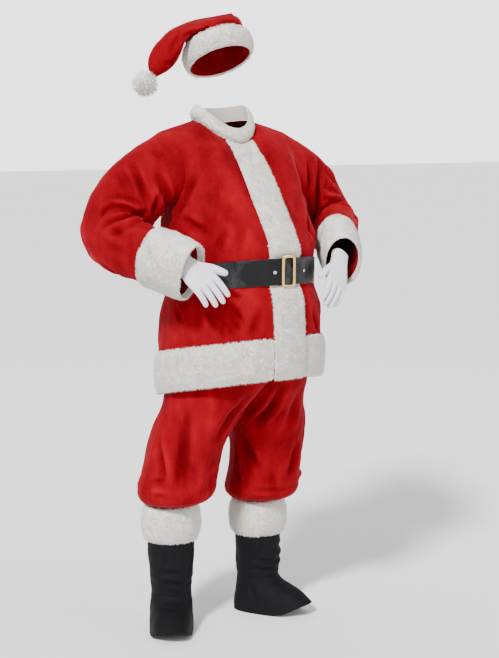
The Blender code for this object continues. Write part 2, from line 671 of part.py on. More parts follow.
def armhole_point(label, u):
    """The armhole: u 0 is the shoulder tip, a quarter the front, a half the underarm."""
    side = SIDES[label]
    seam = SEAM_GAP / 2 / QUARTER_GIRTH
    face = "front" if u <= 0.5 else "back"
    level = 1 - 2 * u if u <= 0.5 else 2 * u - 1
    point = jacket_point(side, face, 1 - seam, mix(CHEST_SHARE, 1.0, level))
    return point + Vector((side * 3.2 * SEAM_GAP, 0, 0))


def arm_frame(rows, share):
    """Middle, direction, upward and forward axes of the sleeve, on the wearer's left."""
    here = smooth_row(rows, share)
    back = smooth_row(rows, max(share - ARM_LOOK, 0))
    ahead = smooth_row(rows, min(share + ARM_LOOK, 1))
    along = Vector((ahead.x - back.x, ahead.y - back.y, ahead.z - back.z)).normalized()
    up = (Vector((0, 0, 1)) - along * along.z).normalized()
    return here, along, up, along.cross(up)


def arm_turns(rows, count=60):
    """How far the upward axis turns about the sleeve, so that its columns can run straight."""
    turns = [0.0]
    _, along, up, _ = arm_frame(rows, 0.0)
    for k in range(count):
        _, next_along, next_up, next_forward = arm_frame(rows, (k + 1) / count)
        carried = along.rotation_difference(next_along) @ up
        turns.append(turns[-1] + math.atan2(carried.dot(next_forward), carried.dot(next_up)))
        along, up = next_along, next_up
    return turns


def sleeve_surface(label):
    side = SIDES[label]
    rows = LEFT_ARM if label == "left" else RIGHT_ARM
    start = Vector((rows[0].x, rows[0].y, rows[0].z))
    turns = arm_turns(rows)

    def point(u, v):
        here, along, up, forward = arm_frame(rows, v)
        place = min(max(v, 0.0), 1.0) * (len(turns) - 1)
        below = min(int(place), len(turns) - 2)
        turn = 2 * math.pi * u + mix(turns[below], turns[below + 1], place - below)
        middle = Vector((here.x, here.y, here.z))
        round_point = middle + up * here.tall * math.cos(turn) + forward * here.wide * math.sin(turn)
        hole = armhole_point("left", u % 1.0)
        hole_point = hole + (middle - start)
        placed = mix(hole_point, round_point, ease(v / RING_SHARE))
        return Vector((side * placed.x, placed.y, placed.z))
    folds = fold_push(SLEEVE_FOLDS[label], SLEEVE_GIRTH, SLEEVE_LENGTH, wraps=True)

    def push(u, v):
        return folds(u, v) * ease(v / 0.08) * ease((1 - CUFF_SHARE - v) / 0.06)
    inside = Vector((side * rows[4].x, rows[4].y, rows[4].z))
    return Ring(point, inside).pushed(push)


def make_sleeves():
    rows = [0, 0.05, 0.11, 0.18, 0.25, 0.32, 0.39, 0.45, 0.50, 0.55, 0.60, 0.66, 0.72]
    rows += [mix(1 - CUFF_SHARE, 1.0, v) for v in BAND_ROWS[:-1]]
    pile = rounded_pile(PILE, edge_v=0.22)
    for label in SIDES:
        surface = sleeve_surface(label)
        make_wall(f"sleeve_{label}", surface, steps(18)[:-1], rows, PLUSH, "red_plush", wraps=True)
        band = Ring(lambda u, v, surface=surface: surface.point(u, mix(1 - CUFF_SHARE, 1.0, v)),
                    surface.point(0.0, 0.9).lerp(surface.point(0.5, 0.9), 0.5))
        make_slab(f"cuff_{label}", band.pushed(SEAM_GAP),
                  band.pushed(lambda u, v: SEAM_GAP + pile(u, v)), steps(18)[:-1],
                  BAND_ROWS, "white_fur", wraps=True)


# Belt

def belt_surface():
    """The jacket at the belt, moved out over the front trim: u starts at the back."""
    def point(u, v):
        angle = 360 * u - 180
        return torso_point(angle, BELT_HEIGHT + (v - 0.5) * BELT_WIDTH)
    base = Ring(point, Vector((0, TORSO_CENTRE, BELT_HEIGHT)))
    half_angle = 15.0
    trim = SEAM_GAP + PILE * 0.42

    def push(u, v):
        angle = abs(360 * u - 180)
        over_trim = 1 - ease((angle - half_angle) / 7.0)
        return SEAM_GAP + 0.0012 + trim * over_trim
    return base.pushed(push)


def make_belt():
    base = belt_surface()
    strap_face = base.pushed(STRAP)
    front = 40 / 360
    columns = steps(28, front, 1 - front) + steps(26, 1 - front, 1 + front)[1:-1]
    columns = [(u + 0.5) % 1.0 for u in columns]
    make_slab("belt_strap", base, strap_face, columns, [0, 0.5, 1],
              "glossy_strap", wraps=True)
    return strap_face


def strap_patch(strap_face, centre_u, width, height, push):
    """Part of the strap's face moved out: u across from right to left, v up."""
    def point(u, v):
        across = centre_u + (u - 0.5) * width / BELT_GIRTH
        return strap_face.point(across, 0.5 + (v - 0.5) * height / BELT_WIDTH)
    return Surface(point, Vector((0, TORSO_CENTRE, BELT_HEIGHT))).pushed(push)


def make_tongue(strap_face):
    """The strap's free end, which comes out of the buckle towards the right side."""
    height = BELT_WIDTH - 0.006
    middle_u = 0.5 - (TONGUE_END - TONGUE_LENGTH / 2) / BELT_GIRTH
    rounding = 0.30

    def half_height(u):
        return math.sqrt(max(1 - (1 - min(u / rounding, 1.0)) ** 2, 0.06))

    def face(lift):
        whole = strap_patch(strap_face, middle_u, TONGUE_LENGTH, height, lift)
        return Surface(lambda u, v: whole.point(u, 0.5 + (v - 0.5) * half_height(u)), whole.inside)
    make_slab("belt_tongue", face(2.5 * SEAM_GAP), face(2.5 * SEAM_GAP + 0.0022),
              [0, 0.03, 0.08, 0.15, 0.24, 0.36, 0.48, 0.6, 0.7, 0.8, 0.9, 1], [0, 0.5, 1], "matt_strap")
    return face(2.5 * SEAM_GAP + 0.0022)


def make_round_stud(name, face, share, radius, depth):
    """A low tapered stud that stands on the middle line of a face."""
    spot, normal = face.point(share, 0.5), face.normal(share, 0.5)
    work = bmesh.new()
    sides = 14
    turn = normal.to_track_quat("Z", "Y").to_matrix().to_4x4()
    place = Matrix.Translation(spot + normal * SEAM_GAP) @ turn
    bmesh.ops.create_cone(work, cap_ends=True, segments=sides, radius1=radius, radius2=radius * 0.72,
                          depth=depth, matrix=place @ Matrix.Translation((0, 0, depth / 2)))
    mesh = bpy.data.meshes.new(name)
    work.to_mesh(mesh)
    work.free()
    return make_object(name, mesh, "silver_metal")


def make_buckle(strap_face):
    """A rectangular frame that stands over the strap, bent to the belly."""
    width, height = BUCKLE_SIZE
    bar_u, bar_v = BUCKLE_BAR / width, BUCKLE_BAR / height
    lift = SEAM_GAP + 0.0035
    patch = strap_patch(strap_face, 0.5, width, height, lift)
    top = patch.pushed(BUCKLE_DEPTH)
    corner = 0.06
    rings = []
    for face, inset in ((patch, 0.0), (top, 0.012), (top, 0.988), (patch, 1.0)):
        ring = []
        for spot in ((corner, 0), (0.5, 0), (1 - corner, 0), (1, corner), (1, 0.5), (1, 1 - corner),
                     (1 - corner, 1), (0.5, 1), (corner, 1), (0, 1 - corner), (0, 0.5), (0, corner)):
            u = mix(spot[0], mix(bar_u, 1 - bar_u, spot[0]), inset)
            v = mix(spot[1], mix(bar_v, 1 - bar_v, spot[1]), inset)
            ring.append(face.point(u, v))
        rings.append(ring)
    work = bmesh.new()
    loops = [[work.verts.new(spot) for spot in ring] for ring in rings]
    for k in range(4):
        here, there = loops[k], loops[(k + 1) % 4]
        for j in range(12):
            n = (j + 1) % 12
            work.faces.new((here[j], here[n], there[n], there[j]))
    bmesh.ops.recalc_face_normals(work, faces=work.faces)
    mesh = bpy.data.meshes.new("buckle_frame")
    work.to_mesh(mesh)
    work.free()
    return make_object("buckle_frame", mesh, "gold_metal")


# Trousers

def leg_point(rows, label, face, u, v):
    """A trouser panel: u from the outer seam to the rise or inner seam, v from the ankle up."""
    row = smooth_row(rows, mix(rows[0].height, rows[-1].height, v))
    reach = -row.front if face == "front" else row.back
    share = min(max(-row.middle / row.half_width, -1.0), 1.0)
    most = math.acos(share) if row.middle < row.half_width else math.pi
    turn = most * u
    x = row.middle + row.half_width * math.cos(turn)
    return Vector((
        SIDES[label] * (x + SEAM_GAP),
        row.centre + reach * math.sin(turn),
        lowered(row.height, label),
    ))


def make_trousers():
    seam = SEAM_GAP / 2 / LEG_PANEL_WIDTH
    heights = [0.335, 0.409, 0.412, 0.418, 0.432, 0.450, 0.474, 0.500, 0.540, 0.590, 0.646, 0.690,
               0.740, 0.800, 0.890, 1.035]
    vs = [(h - RIGHT_LEG[0].height) / (RIGHT_LEG[-1].height - RIGHT_LEG[0].height) for h in heights]
    for label, side in SIDES.items():
        rows = RIGHT_LEG if label == "right" else LEFT_LEG
        for face in ("front", "back"):
            inside = Vector((side * rows[4].middle, rows[4].centre, 0.55))
            base = Surface(lambda u, v: leg_point(rows, label, face, u, v), inside)
            folds = fold_push(LEG_FOLDS[label, face], LEG_PANEL_WIDTH, LEG_LENGTH)

            def push(u, v):
                ends = ease((v - 0.105) / 0.03) * ease((0.85 - v) / 0.1)
                return folds(u, v) * ends * ease(min(u, 1 - u) / 0.07)
            make_wall(f"trouser_{face}_{label}", base.pushed(push), steps(8, seam, 1 - seam), vs,
                      PLUSH, "red_plush")


def make_waistband():
    """A plain elastic band on the trousers' top edge, just inside the jacket under the belt."""
    rows = RIGHT_LEG[-1]

    def point(u, v):
        turn = 2 * math.pi * u
        reach = rows.front if math.cos(turn) > 0 else rows.back
        return Vector((
            (rows.half_width + 0.0008) * math.sin(turn),
            rows.centre - math.cos(turn) * reach,
            rows.height + SEAM_GAP + 0.032 * v,
        ))
    make_wall("waistband", Ring(point, Vector((0, rows.centre, rows.height))), steps(32)[:-1],
              [0, 1], PLUSH, "red_plush", wraps=True)


# Boot covers

def boot_turned(label, local):
    """From a boot's own axes, toe along -Y, to its place."""
    side = SIDES[label]
    turn = math.radians(TOE_OUT[label]) * side
    x = local.x * math.cos(turn) - local.y * math.sin(turn)
    y = local.x * math.sin(turn) + local.y * math.cos(turn)
    return Vector((side * BOOT_X + x, BOOT_Y + y, local.z))


def shaft_surface(label):
    def point(u, v):
        row = smooth_row(BOOT_ROWS, mix(BOOT_ROWS[0].height, BOOT_ROWS[-1].height, v))
        turn = 2 * math.pi * u
        wrinkle = 0.0022 * math.sin(2 * turn + 40 * row.height) * ease((0.30 - row.height) / 0.06)
        wrinkle *= ease((row.height - BOOT_ROWS[0].height) / 0.02)
        return boot_turned(label, Vector((
            (row.half_width + wrinkle) * math.sin(turn),
            -(row.half_length + wrinkle) * math.cos(turn),
            lowered(row.height, label),
        )))
    return Ring(point, Vector((SIDES[label] * BOOT_X, BOOT_Y, 0.27)))


def foot_surface(label):
    """The foot of a boot cover: u 0 is the toe, v 0 the ankle seam and 1 the lower edge."""
    ankle = BOOT_ROWS[0]

    def point(u, v):
        turn = 2 * math.pi * u
        forward = math.cos(turn)
        length = FOOT_TOE if forward > 0 else FOOT_HEEL
        toe = ease((forward - 0.45) / 0.55)
        low = Vector((
            FOOT_HALF_WIDTH * math.copysign(abs(math.sin(turn)) ** FOOT_BLUNTNESS[0], math.sin(turn)),
            -length * math.copysign(abs(forward) ** FOOT_BLUNTNESS[1], forward),
            0.001 + TOE_ARCH * toe,
        ))
        high = Vector((
            ankle.half_width * math.sin(turn), -ankle.half_length * forward, ankle.height - SEAM_GAP,
        ))
        start_pull = Vector((0, -0.004 * forward, -0.030))
        end_pull = Vector((0, 0.052 * toe, 0.040 + 0.018 * toe))
        return boot_turned(label, bezier(high, high + start_pull, low + end_pull, low, v))
    return Ring(point, Vector((SIDES[label] * BOOT_X, BOOT_Y, 0.07)))


def make_boots():
    low = BOOT_ROWS[0].height
    span = BOOT_ROWS[-1].height - low
    pile = rounded_pile(0.020, edge_v=0.3, low=0.35)
    for label in SIDES:
        shaft = shaft_surface(label)
        make_wall(f"boot_shaft_{label}", shaft, steps(18)[:-1], steps(6), BOOT_CLOTH, "boot_cloth",
                  wraps=True)
        make_wall(f"boot_foot_{label}", foot_surface(label), steps(20)[:-1], steps(5), BOOT_CLOTH,
                  "boot_cloth", wraps=True)
        first, last = (BOOT_CUFF_LOW - low) / span, (BOOT_CUFF_HIGH - low) / span

        def cuff_point(u, v, shaft=shaft, label=label):
            height = mix(BOOT_CUFF_LOW, BOOT_CUFF_HIGH, v)
            spot = shaft.point(u, min((height - low) / span, 1.0))
            return Vector((spot.x, spot.y, lowered(height, label)))
        band = Ring(cuff_point, shaft.inside)
        make_slab(f"boot_cuff_{label}", band.pushed(2 * SEAM_GAP),
                  band.pushed(lambda u, v: 2 * SEAM_GAP + pile(u, v)), steps(18)[:-1],
                  BAND_ROWS, "white_fur", wraps=True)


# Hat

def hat_ring_point(row, turn, half_across, half_deep, rise=0.0):
    """A point of a tipped ring: turn 0 is the front, a quarter the wearer's left."""
    pitch = math.radians(row.pitch)
    back = Vector((0, math.cos(pitch), -math.sin(pitch)))
    axis = Vector((0, math.sin(pitch), math.cos(pitch)))
    middle = Vector(((row.inner_x + row.outer_x) / 2, row.y, (row.inner_z + row.outer_z) / 2))
    return middle + half_across * math.sin(turn) - back * half_deep * math.cos(turn) + axis * rise


def hat_surface():
    def point(u, v):
        row = smooth_row(HAT_ROWS, v)
        half = Vector((row.outer_x - row.inner_x, 0, row.outer_z - row.inner_z)) / 2
        return hat_ring_point(row, 2 * math.pi * u, half, row.deep)
    folds = fold_push(HAT_FOLDS, HAT_GIRTH, HAT_LENGTH, wraps=True)
    middle = smooth_row(HAT_ROWS, 0.5)
    base = Ring(point, Vector(((middle.inner_x + middle.outer_x) / 2, middle.y,
                               (middle.inner_z + middle.outer_z) / 2)))
    return base.pushed(lambda u, v: folds(u, v) * ease((v - 0.2) / 0.06))


def make_hat():
    make_wall("hat_cone", hat_surface(), steps(HAT_COLUMNS)[:-1], [row.share for row in HAT_ROWS],
              PLUSH, "red_plush", wraps=True)
    row = HAT_ROWS[HAT_BAND_ROW]
    across, deep = HAT_BAND_HALF

    def band_point(u, v):
        half = Vector((across, 0, 0))
        return hat_ring_point(row, 2 * math.pi * u, half, deep, (v - 0.5) * HAT_BAND_HEIGHT)
    band = Ring(band_point, Vector((0, row.y, row.inner_z)))
    pile = rounded_pile(HAT_BAND_PILE, edge_v=0.3, low=0.25)
    make_slab("hat_band", band.pushed(SEAM_GAP), band.pushed(lambda u, v: SEAM_GAP + pile(u, v)),
              steps(HAT_COLUMNS)[:-1], BAND_ROWS, "white_fur", wraps=True)


def make_pompom():
    """A ball of fur: one tapered lock on every face of a round core."""
    work = bmesh.new()
    bmesh.ops.create_icosphere(work, subdivisions=2, radius=POMPOM_RADIUS)
    locks = list(work.faces)
    for face in locks:
        outward = face.calc_center_median().normalized()
        tip = bmesh.ops.extrude_discrete_faces(work, faces=[face])["faces"][0]
        centre = tip.calc_center_median()
        for vert in tip.verts:
            vert.co = centre + (vert.co - centre) * 0.55 + outward * POMPOM_LOCK
    bmesh.ops.translate(work, verts=work.verts, vec=POMPOM_CENTRE)
    bmesh.ops.recalc_face_normals(work, faces=work.faces)
    mesh = bpy.data.meshes.new("pompom")
    work.to_mesh(mesh)
    work.free()
    return make_object("pompom", mesh, "white_fur")


# Gloves

def glove_axes(label):
    hand = HANDS[label]
    along = hand.along.normalized()
    back = (hand.back - along * hand.back.dot(along)).normalized()
    across = along.cross(back) * SIDES[label]
    return hand, along, back, across


def make_glove(label):
    """A glove modelled as a palm with four fingers and a thumb, hollow and open at the wrist."""
    hand, along, back, across = glove_axes(label)
    work = bmesh.new()

    def vert(length, width, height, drop=0.0):
        spot = hand.wrist + along * length + across * width + back * (height - drop)
        return work.verts.new(spot)
    edges = [FINGERS[0].across - FINGERS[0].breadth / 2]
    for left, right in zip(FINGERS, FINGERS[1:]):
        edges.append((left.across + left.breadth / 2 + right.across - right.breadth / 2) / 2)
    edges.append(FINGERS[-1].across + FINGERS[-1].breadth / 2)
    palm_rows = [(-0.030, 0.70, 1.30), (0.0, 0.66, 1.20), (0.030, 0.86, 1.10), (0.060, 1.0, 1.0),
                 (PALM_LENGTH, 1.0, 0.80)]
    tops, lows = [], []
    for length, spread, thick in palm_rows:
        half = PALM_THICKNESS / 2 * thick
        crown = [0.55, 0.95, 1.0, 0.95, 0.55]
        tops.append([vert(length, edge * spread, half * c) for edge, c in zip(edges, crown)])
        lows.append([vert(length, edge * spread, -half * c) for edge, c in zip(edges, crown)])
    for i in range(len(palm_rows) - 1):
        for j in range(4):
            work.faces.new((tops[i][j], tops[i][j + 1], tops[i + 1][j + 1], tops[i + 1][j]))
            work.faces.new((lows[i][j], lows[i + 1][j], lows[i + 1][j + 1], lows[i][j + 1]))
        work.faces.new((tops[i][0], tops[i + 1][0], lows[i + 1][0], lows[i][0]))
        if i != 2:
            work.faces.new((tops[i][4], lows[i][4], lows[i + 1][4], tops[i + 1][4]))
    for j, finger in enumerate(FINGERS):
        root = [tops[-1][j], tops[-1][j + 1], lows[-1][j + 1], lows[-1][j]]
        add_digit(work, root, finger, hand, along, back, across)
    thumb_root = [tops[2][4], tops[3][4], lows[3][4], lows[2][4]]
    add_thumb(work, thumb_root, along, back, across)
    bmesh.ops.recalc_face_normals(work, faces=work.faces)
    mesh = bpy.data.meshes.new(f"glove_{label}")
    work.to_mesh(mesh)
    work.free()
    glove = make_object(f"glove_{label}", mesh, "white_knit")
    wall = glove.modifiers.new("wall", "SOLIDIFY")
    wall.thickness = KNIT
    wall.offset = -1
    return glove


def add_digit(work, root, finger, hand, along, back, across):
    """A finger of three bones that bends towards the palm."""
    centre = sum((v.co for v in root), Vector()) / 4
    shares = (0.42, 0.32, 0.26)
    angle = math.radians(hand.bend * 0.5)
    ring = root
    spot = centre
    for k, (bend, share) in enumerate(zip(finger.bends, shares)):
        angle += math.radians(bend)
        heading = along * math.cos(angle) - back * math.sin(angle)
        up = back * math.cos(angle) + along * math.sin(angle)
        spot = spot + heading * finger.length * share
        narrow = 1.0 - 0.10 * k
        half_w = finger.breadth / 2 * narrow * 0.98
        half_t = finger.breadth / 2 * narrow * 0.92
        new = [work.verts.new(spot + across * w + up * t) for w, t in
               ((-half_w, half_t), (half_w, half_t), (half_w, -half_t), (-half_w, -half_t))]
        for j in range(4):
            n = (j + 1) % 4
            work.faces.new((ring[j], ring[n], new[n], new[j]))
        ring = new
    work.faces.new(ring)


def add_thumb(work, root, along, back, across):
    ring = root
    heading = (across * 0.42 + along * 0.86 - back * 0.10).normalized()
    side = (along - heading * along.dot(heading)).normalized()
    up = side.cross(heading)
    if up.dot(back) < 0:
        up = -up
    spot = sum((v.co for v in root), Vector()) / 4
    for length, half in ((0.026, 0.0125), (0.024, 0.0108), (0.018, 0.0085)):
        spot = spot + heading * length
        new = [work.verts.new(spot + side * a + up * b) for a, b in
               ((-half, half), (half, half), (half, -half), (-half, -half))]
        for j in range(4):
            n = (j + 1) % 4
            work.faces.new((ring[j], ring[n], new[n], new[j]))
        ring = new
    work.faces.new(ring)


def make_materials():
    made = {}
    for name, finish in FINISHES.items():
        material = bpy.data.materials.new(name)
        material.use_nodes = True
        shader = material.node_tree.nodes["Principled BSDF"]
        shader.inputs["Base Color"].default_value = (*finish.colour, 1.0)
        shader.inputs["Roughness"].default_value = finish.roughness
        shader.inputs["Metallic"].default_value = finish.metallic
        made[name] = material
    return made


for leftover in list(bpy.data.objects):
    bpy.data.objects.remove(leftover)

materials = make_materials()
suit = bpy.data.objects.new("suit", None)
bpy.context.scene.collection.objects.link(suit)
suit.location = (0, 0, -ORIGIN_HEIGHT)

make_jacket_panels()
make_hem_trims()
make_front_trim()
make_collar()
make_sleeves()
belt_face = make_belt()
tongue_face = make_tongue(belt_face)
make_buckle(belt_face)
make_round_stud("belt_snap", tongue_face, SNAP_SHARE, 0.0062, 0.0030)
make_round_stud("belt_rivet", belt_face, 0.5 + RIVET_FROM_BUCKLE / BELT_GIRTH, 0.0045, 0.0025)
make_trousers()
make_waistband()
make_boots()
make_hat()
make_pompom()
for hand_label in SIDES:
    make_glove(hand_label)
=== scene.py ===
import math

import bmesh
import bpy
import numpy as np
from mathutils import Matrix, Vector, noise


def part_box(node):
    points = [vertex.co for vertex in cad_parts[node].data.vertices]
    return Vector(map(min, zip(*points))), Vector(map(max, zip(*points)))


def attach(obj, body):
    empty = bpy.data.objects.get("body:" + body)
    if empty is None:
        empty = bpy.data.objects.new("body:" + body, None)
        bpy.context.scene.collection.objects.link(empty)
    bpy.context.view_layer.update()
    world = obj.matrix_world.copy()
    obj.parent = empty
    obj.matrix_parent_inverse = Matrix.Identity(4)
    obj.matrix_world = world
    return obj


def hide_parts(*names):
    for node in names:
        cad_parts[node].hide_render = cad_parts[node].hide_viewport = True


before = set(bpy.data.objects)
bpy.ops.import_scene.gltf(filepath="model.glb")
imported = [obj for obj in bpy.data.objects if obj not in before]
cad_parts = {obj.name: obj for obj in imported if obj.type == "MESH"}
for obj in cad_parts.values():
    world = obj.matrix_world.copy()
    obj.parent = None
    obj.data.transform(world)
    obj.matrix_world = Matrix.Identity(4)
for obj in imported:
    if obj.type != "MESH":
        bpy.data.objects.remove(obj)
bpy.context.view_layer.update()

floorLevel = -1.400    # the boot covers' lower edge, below the shoulders' origin
sides = {"right": -1, "left": 1}


# Tools for all pieces

meshing = {"mergeDistance": 0.00002, "quadAngle": 70, "creaseAngle": 50, "smoothAngle": 55}


def addToScene(name, data):
    thing = bpy.data.objects.new(name, data)
    bpy.context.scene.collection.objects.link(thing)
    return thing


def selectOnly(piece):
    bpy.ops.object.select_all(action="DESELECT")
    piece.select_set(True)
    bpy.context.view_layer.objects.active = piece


def applyModifier(piece, kind, **settings):
    selectOnly(piece)
    modifier = piece.modifiers.new(kind.lower(), kind)
    for name, value in settings.items():
        setattr(modifier, name, value)
    bpy.ops.object.modifier_apply(modifier=modifier.name)


def refine(piece, levels, crisp=True):
    # rounds the facets, and keeps the cut edges of the cloth crisp
    if crisp:
        mesh = bmesh.new()
        mesh.from_mesh(piece.data)
        crease = mesh.edges.layers.float.new("crease_edge")
        for edge in mesh.edges:
            if edge.calc_face_angle(0.0) > math.radians(meshing["creaseAngle"]):
                edge[crease] = 1.0
        mesh.to_mesh(piece.data)
        mesh.free()
    applyModifier(piece, "SUBSURF", levels=levels, render_levels=levels)
    selectOnly(piece)
    bpy.ops.object.shade_smooth_by_angle(angle=math.radians(meshing["smoothAngle"]))


def copyNode(node, name):
    # a merged copy of a CAD solid, in quads, which then stands for it
    piece = addToScene(name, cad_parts[node].data.copy())
    selectOnly(piece)
    bpy.ops.object.mode_set(mode="EDIT")
    bpy.ops.mesh.select_all(action="SELECT")
    bpy.ops.mesh.customdata_custom_splitnormals_clear()
    bpy.ops.mesh.remove_doubles(threshold=meshing["mergeDistance"])
    widest = math.radians(meshing["quadAngle"])
    bpy.ops.mesh.tris_convert_to_quads(face_threshold=widest, shape_threshold=widest)
    bpy.ops.object.mode_set(mode="OBJECT")
    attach(piece, "root")
    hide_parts(node)
    return piece


def finishWith(piece, material):
    piece.data.materials.clear()
    piece.data.materials.append(material)


def spotsOf(piece):
    spots = np.empty(len(piece.data.vertices) * 3)
    piece.data.vertices.foreach_get("co", spots)
    return spots.reshape(-1, 3)


def placeSpots(piece, spots):
    piece.data.vertices.foreach_set("co", spots.ravel())
    piece.data.update()


def unit(vectors):
    return vectors / np.linalg.norm(vectors, axis=1)[:, None]


def dots(first, second):
    return np.einsum("ij,ij->i", first, second)


def nearestOn(path, spots):
    # distance to a line of points, the nearest point on it, and that point's share of the line
    path = np.array(path, float)
    best = np.full(len(spots), np.inf)
    near = np.zeros_like(spots)
    share = np.zeros(len(spots))
    for k in range(len(path) - 1):
        start, step = path[k], path[k + 1] - path[k]
        along = np.clip((spots - start) @ step / (step @ step), 0, 1)
        foot = start + along[:, None] * step
        away = np.linalg.norm(spots - foot, axis=1)
        closer = away < best
        best[closer] = away[closer]
        near[closer] = foot[closer]
        share[closer] = (k + along[closer]) / (len(path) - 1)
    return best, near, share


def ramp(low, high, value):
    t = np.clip((value - low) / (high - low), 0, 1)
    return t * t * (3 - 2 * t)


def unevenness(spots, size, seed):
    # soft bumps between -1 and 1, with a given size
    return np.array([noise.noise(Vector(spot) / size + Vector((seed, -seed, 2.3 * seed))) for spot in spots])


folding = {
    "depth": 1.6,        # raises or lowers all folds together
    "width": 0.82,       # narrows or widens them
    "steps": 4,          # how finely each stretch of a fold's line is laid onto the cloth
    "rounds": 2,         # how often the laid line is smoothed
    "ends": 0.15,        # the share of its height that a fold keeps at its ends
    "shoulder": 0.42,    # the swelling beside a trough, as a share of its depth
    "fine": 0.4,         # the finer unevenness beside the coarse one, in size and height
    "fullRise": 0.012,   # the height that counts as a full crest or trough in the plush's colour, where its painted highlight or painted shade is full
}


def laidOn(line, spots):
    # a fold's line, brought onto the cloth in short steps
    line, steps = np.array(line), folding["steps"]
    path = [start + (end - start) * k / steps for start, end in zip(line, line[1:]) for k in range(steps)]
    laid = [spots[np.argmin(((spots - point) ** 2).sum(1))] for point in [*path, line[-1]]]
    for _ in range(folding["rounds"]):
        laid = [laid[0]] + [(a + 2 * b + c) / 4 for a, b, c in zip(laid, laid[1:], laid[2:])] + [laid[-1]]
    return laid


def foldHeights(spots, folds):
    # a fold is its line, its half width and its height, which is negative for a trough
    total = np.zeros(len(spots))
    for line, width, height in folds:
        line = laidOn(line, spots)
        width = width * folding["width"]
        low, high = np.min(line, 0) - 4 * width, np.max(line, 0) + 4 * width
        close = np.all((spots > low) & (spots < high), 1)
        away, _, share = nearestOn(line, spots[close])
        fade = folding["ends"] + (1 - folding["ends"]) * np.sin(np.pi * np.clip(share, 0, 1)) ** 0.8
        core = np.exp(-(away / width) ** 2)
        shoulder = np.exp(-((away - 1.8 * width) / (0.9 * width)) ** 2)
        total[close] += folding["depth"] * height * fade * (core - folding["shoulder"] * shoulder)
    return total


def keepOn(mesh, name, values):
    # one number at each point of a mesh, for its material to read
    attribute = mesh.attributes.new(name, "FLOAT", "POINT")
    attribute.data.foreach_set("value", values.astype(np.float32))


def drape(piece, axis, folds, calm=None, bumpSize=0.055, bumpHeight=0.0022, seed=1.0):
    # both walls of the cloth move together, away from the middle of what it covers
    spots = spotsOf(piece)
    _, near, _ = nearestOn(axis, spots)
    height = foldHeights(spots, folds) + bumpHeight * unevenness(spots, bumpSize, seed)
    height += folding["fine"] * bumpHeight * unevenness(spots, bumpSize * folding["fine"], seed + 3.1)
    if calm:
        height *= calm(spots)
    placeSpots(piece, spots + unit(spots - near) * height[:, None])
    # the fold's height, which the plush turns into painted shade in the troughs and a painted highlight on
    # the crests
    keepOn(piece.data, "rise", np.clip(height / folding["fullRise"], -1, 1))


# Materials

class Value:
    # wraps a socket of numbers, so that shader maths reads as sums
    def __init__(self, tree, socket):
        self.tree = tree
        self.socket = socket

    def maths(self, operation, first, second):
        node = self.tree.nodes.new("ShaderNodeMath")
        node.operation = operation
        for place, value in zip(node.inputs, (first, second)):
            if isinstance(value, Value):
                self.tree.links.new(value.socket, place)
            else:
                place.default_value = value
        return Value(self.tree, node.outputs[0])

    def __add__(self, other):
        return self.maths("ADD", self, other)

    def __radd__(self, other):
        return self.maths("ADD", other, self)

    def __sub__(self, other):
        return self.maths("SUBTRACT", self, other)

    def __rsub__(self, other):
        return self.maths("SUBTRACT", other, self)

    def __mul__(self, other):
        return self.maths("MULTIPLY", self, other)

    def __rmul__(self, other):
        return self.maths("MULTIPLY", other, self)

    def __pow__(self, other):
        return self.maths("POWER", self, other)


class Wiring:
    # a node tree, with one method that adds the nodes
    def __init__(self, tree):
        self.tree = tree

    def add(self, kind, settings, inputs, output=0):
        node = self.tree.nodes.new(kind)
        for name, value in settings.items():
            if name == "stops":
                self.setStops(node.color_ramp, value)
            else:
                setattr(node, name, value)
        for name, value in inputs.items():
            if isinstance(value, Value):
                self.tree.links.new(value.socket, node.inputs[name])
            else:
                node.inputs[name].default_value = value
        return Value(self.tree, node.outputs[output])

    def setStops(self, colourRamp, stops):
        while len(colourRamp.elements) < len(stops):
            colourRamp.elements.new(0.5)
        for element, (place, colour) in zip(colourRamp.elements, stops):
            element.position = place
            element.color = (*colour, 1)


class Finish(Wiring):
    # one material, and the patterns that its look is put together from
    def __init__(self, name, **constants):
        self.material = bpy.data.materials.new(name)
        self.material.use_nodes = True
        super().__init__(self.material.node_tree)
        self.shader = self.tree.nodes["Principled BSDF"]
        for socket, value in constants.items():
            self.shader.inputs[socket.replace("_", " ")].default_value = value

    def place(self):
        return self.add("ShaderNodeTexCoord", {}, {}, "Object")

    def stretched(self, scale):
        return self.add("ShaderNodeMapping", {}, {"Vector": self.place(), "Scale": scale})

    def cloud(self, scale, detail=3.0, roughness=0.5, vector=None):
        return self.add("ShaderNodeTexNoise", {}, {
            "Vector": vector or self.place(), "Scale": scale, "Detail": detail, "Roughness": roughness})

    def bands(self, way, scale):
        return self.add("ShaderNodeTexWave", {"wave_type": "BANDS", "bands_direction": way}, {
            "Vector": self.place(), "Scale": scale, "Distortion": 1.2, "Detail": 1.0})

    def kept(self, name):
        return self.add("ShaderNodeAttribute", {"attribute_name": name}, {}, "Fac")

    def colours(self, factor, stops):
        return self.add("ShaderNodeValToRGB", {"stops": stops}, {"Fac": factor}, "Color")

    def mix(self, factor, first, second):
        # a Mix node repeats its names, so its colour sockets go by number
        first, second = (end if isinstance(end, Value) else (*end, 1) for end in (first, second))
        return self.add("ShaderNodeMix", {"data_type": "RGBA"}, {0: factor, 6: first, 7: second}, 2)

    def feed(self, socket, value):
        self.tree.links.new(value.socket, self.shader.inputs[socket])

    def bump(self, height, strength, distance):
        self.feed("Normal", self.add("ShaderNodeBump", {}, {
            "Height": height, "Strength": strength, "Distance": distance}, "Normal"))


# the plush's tones, from the darkest, which gives painted shade in fold hollows, to the lightest, which
# gives a painted highlight on crests; random patches also move between them
plushLook = {
    "hollow": (0.060, 0.0004, 0.0016), "deep": (0.135, 0.0007, 0.0036), "bright": (0.235, 0.0011, 0.0066),
    "crest": (0.340, 0.0020, 0.0105), "nap": (0.27, 0.0022, 0.0090),
    "patchScale": 11.0, "strokeScale": 12.0, "streakScale": 120.0, "napScale": 260.0,
}


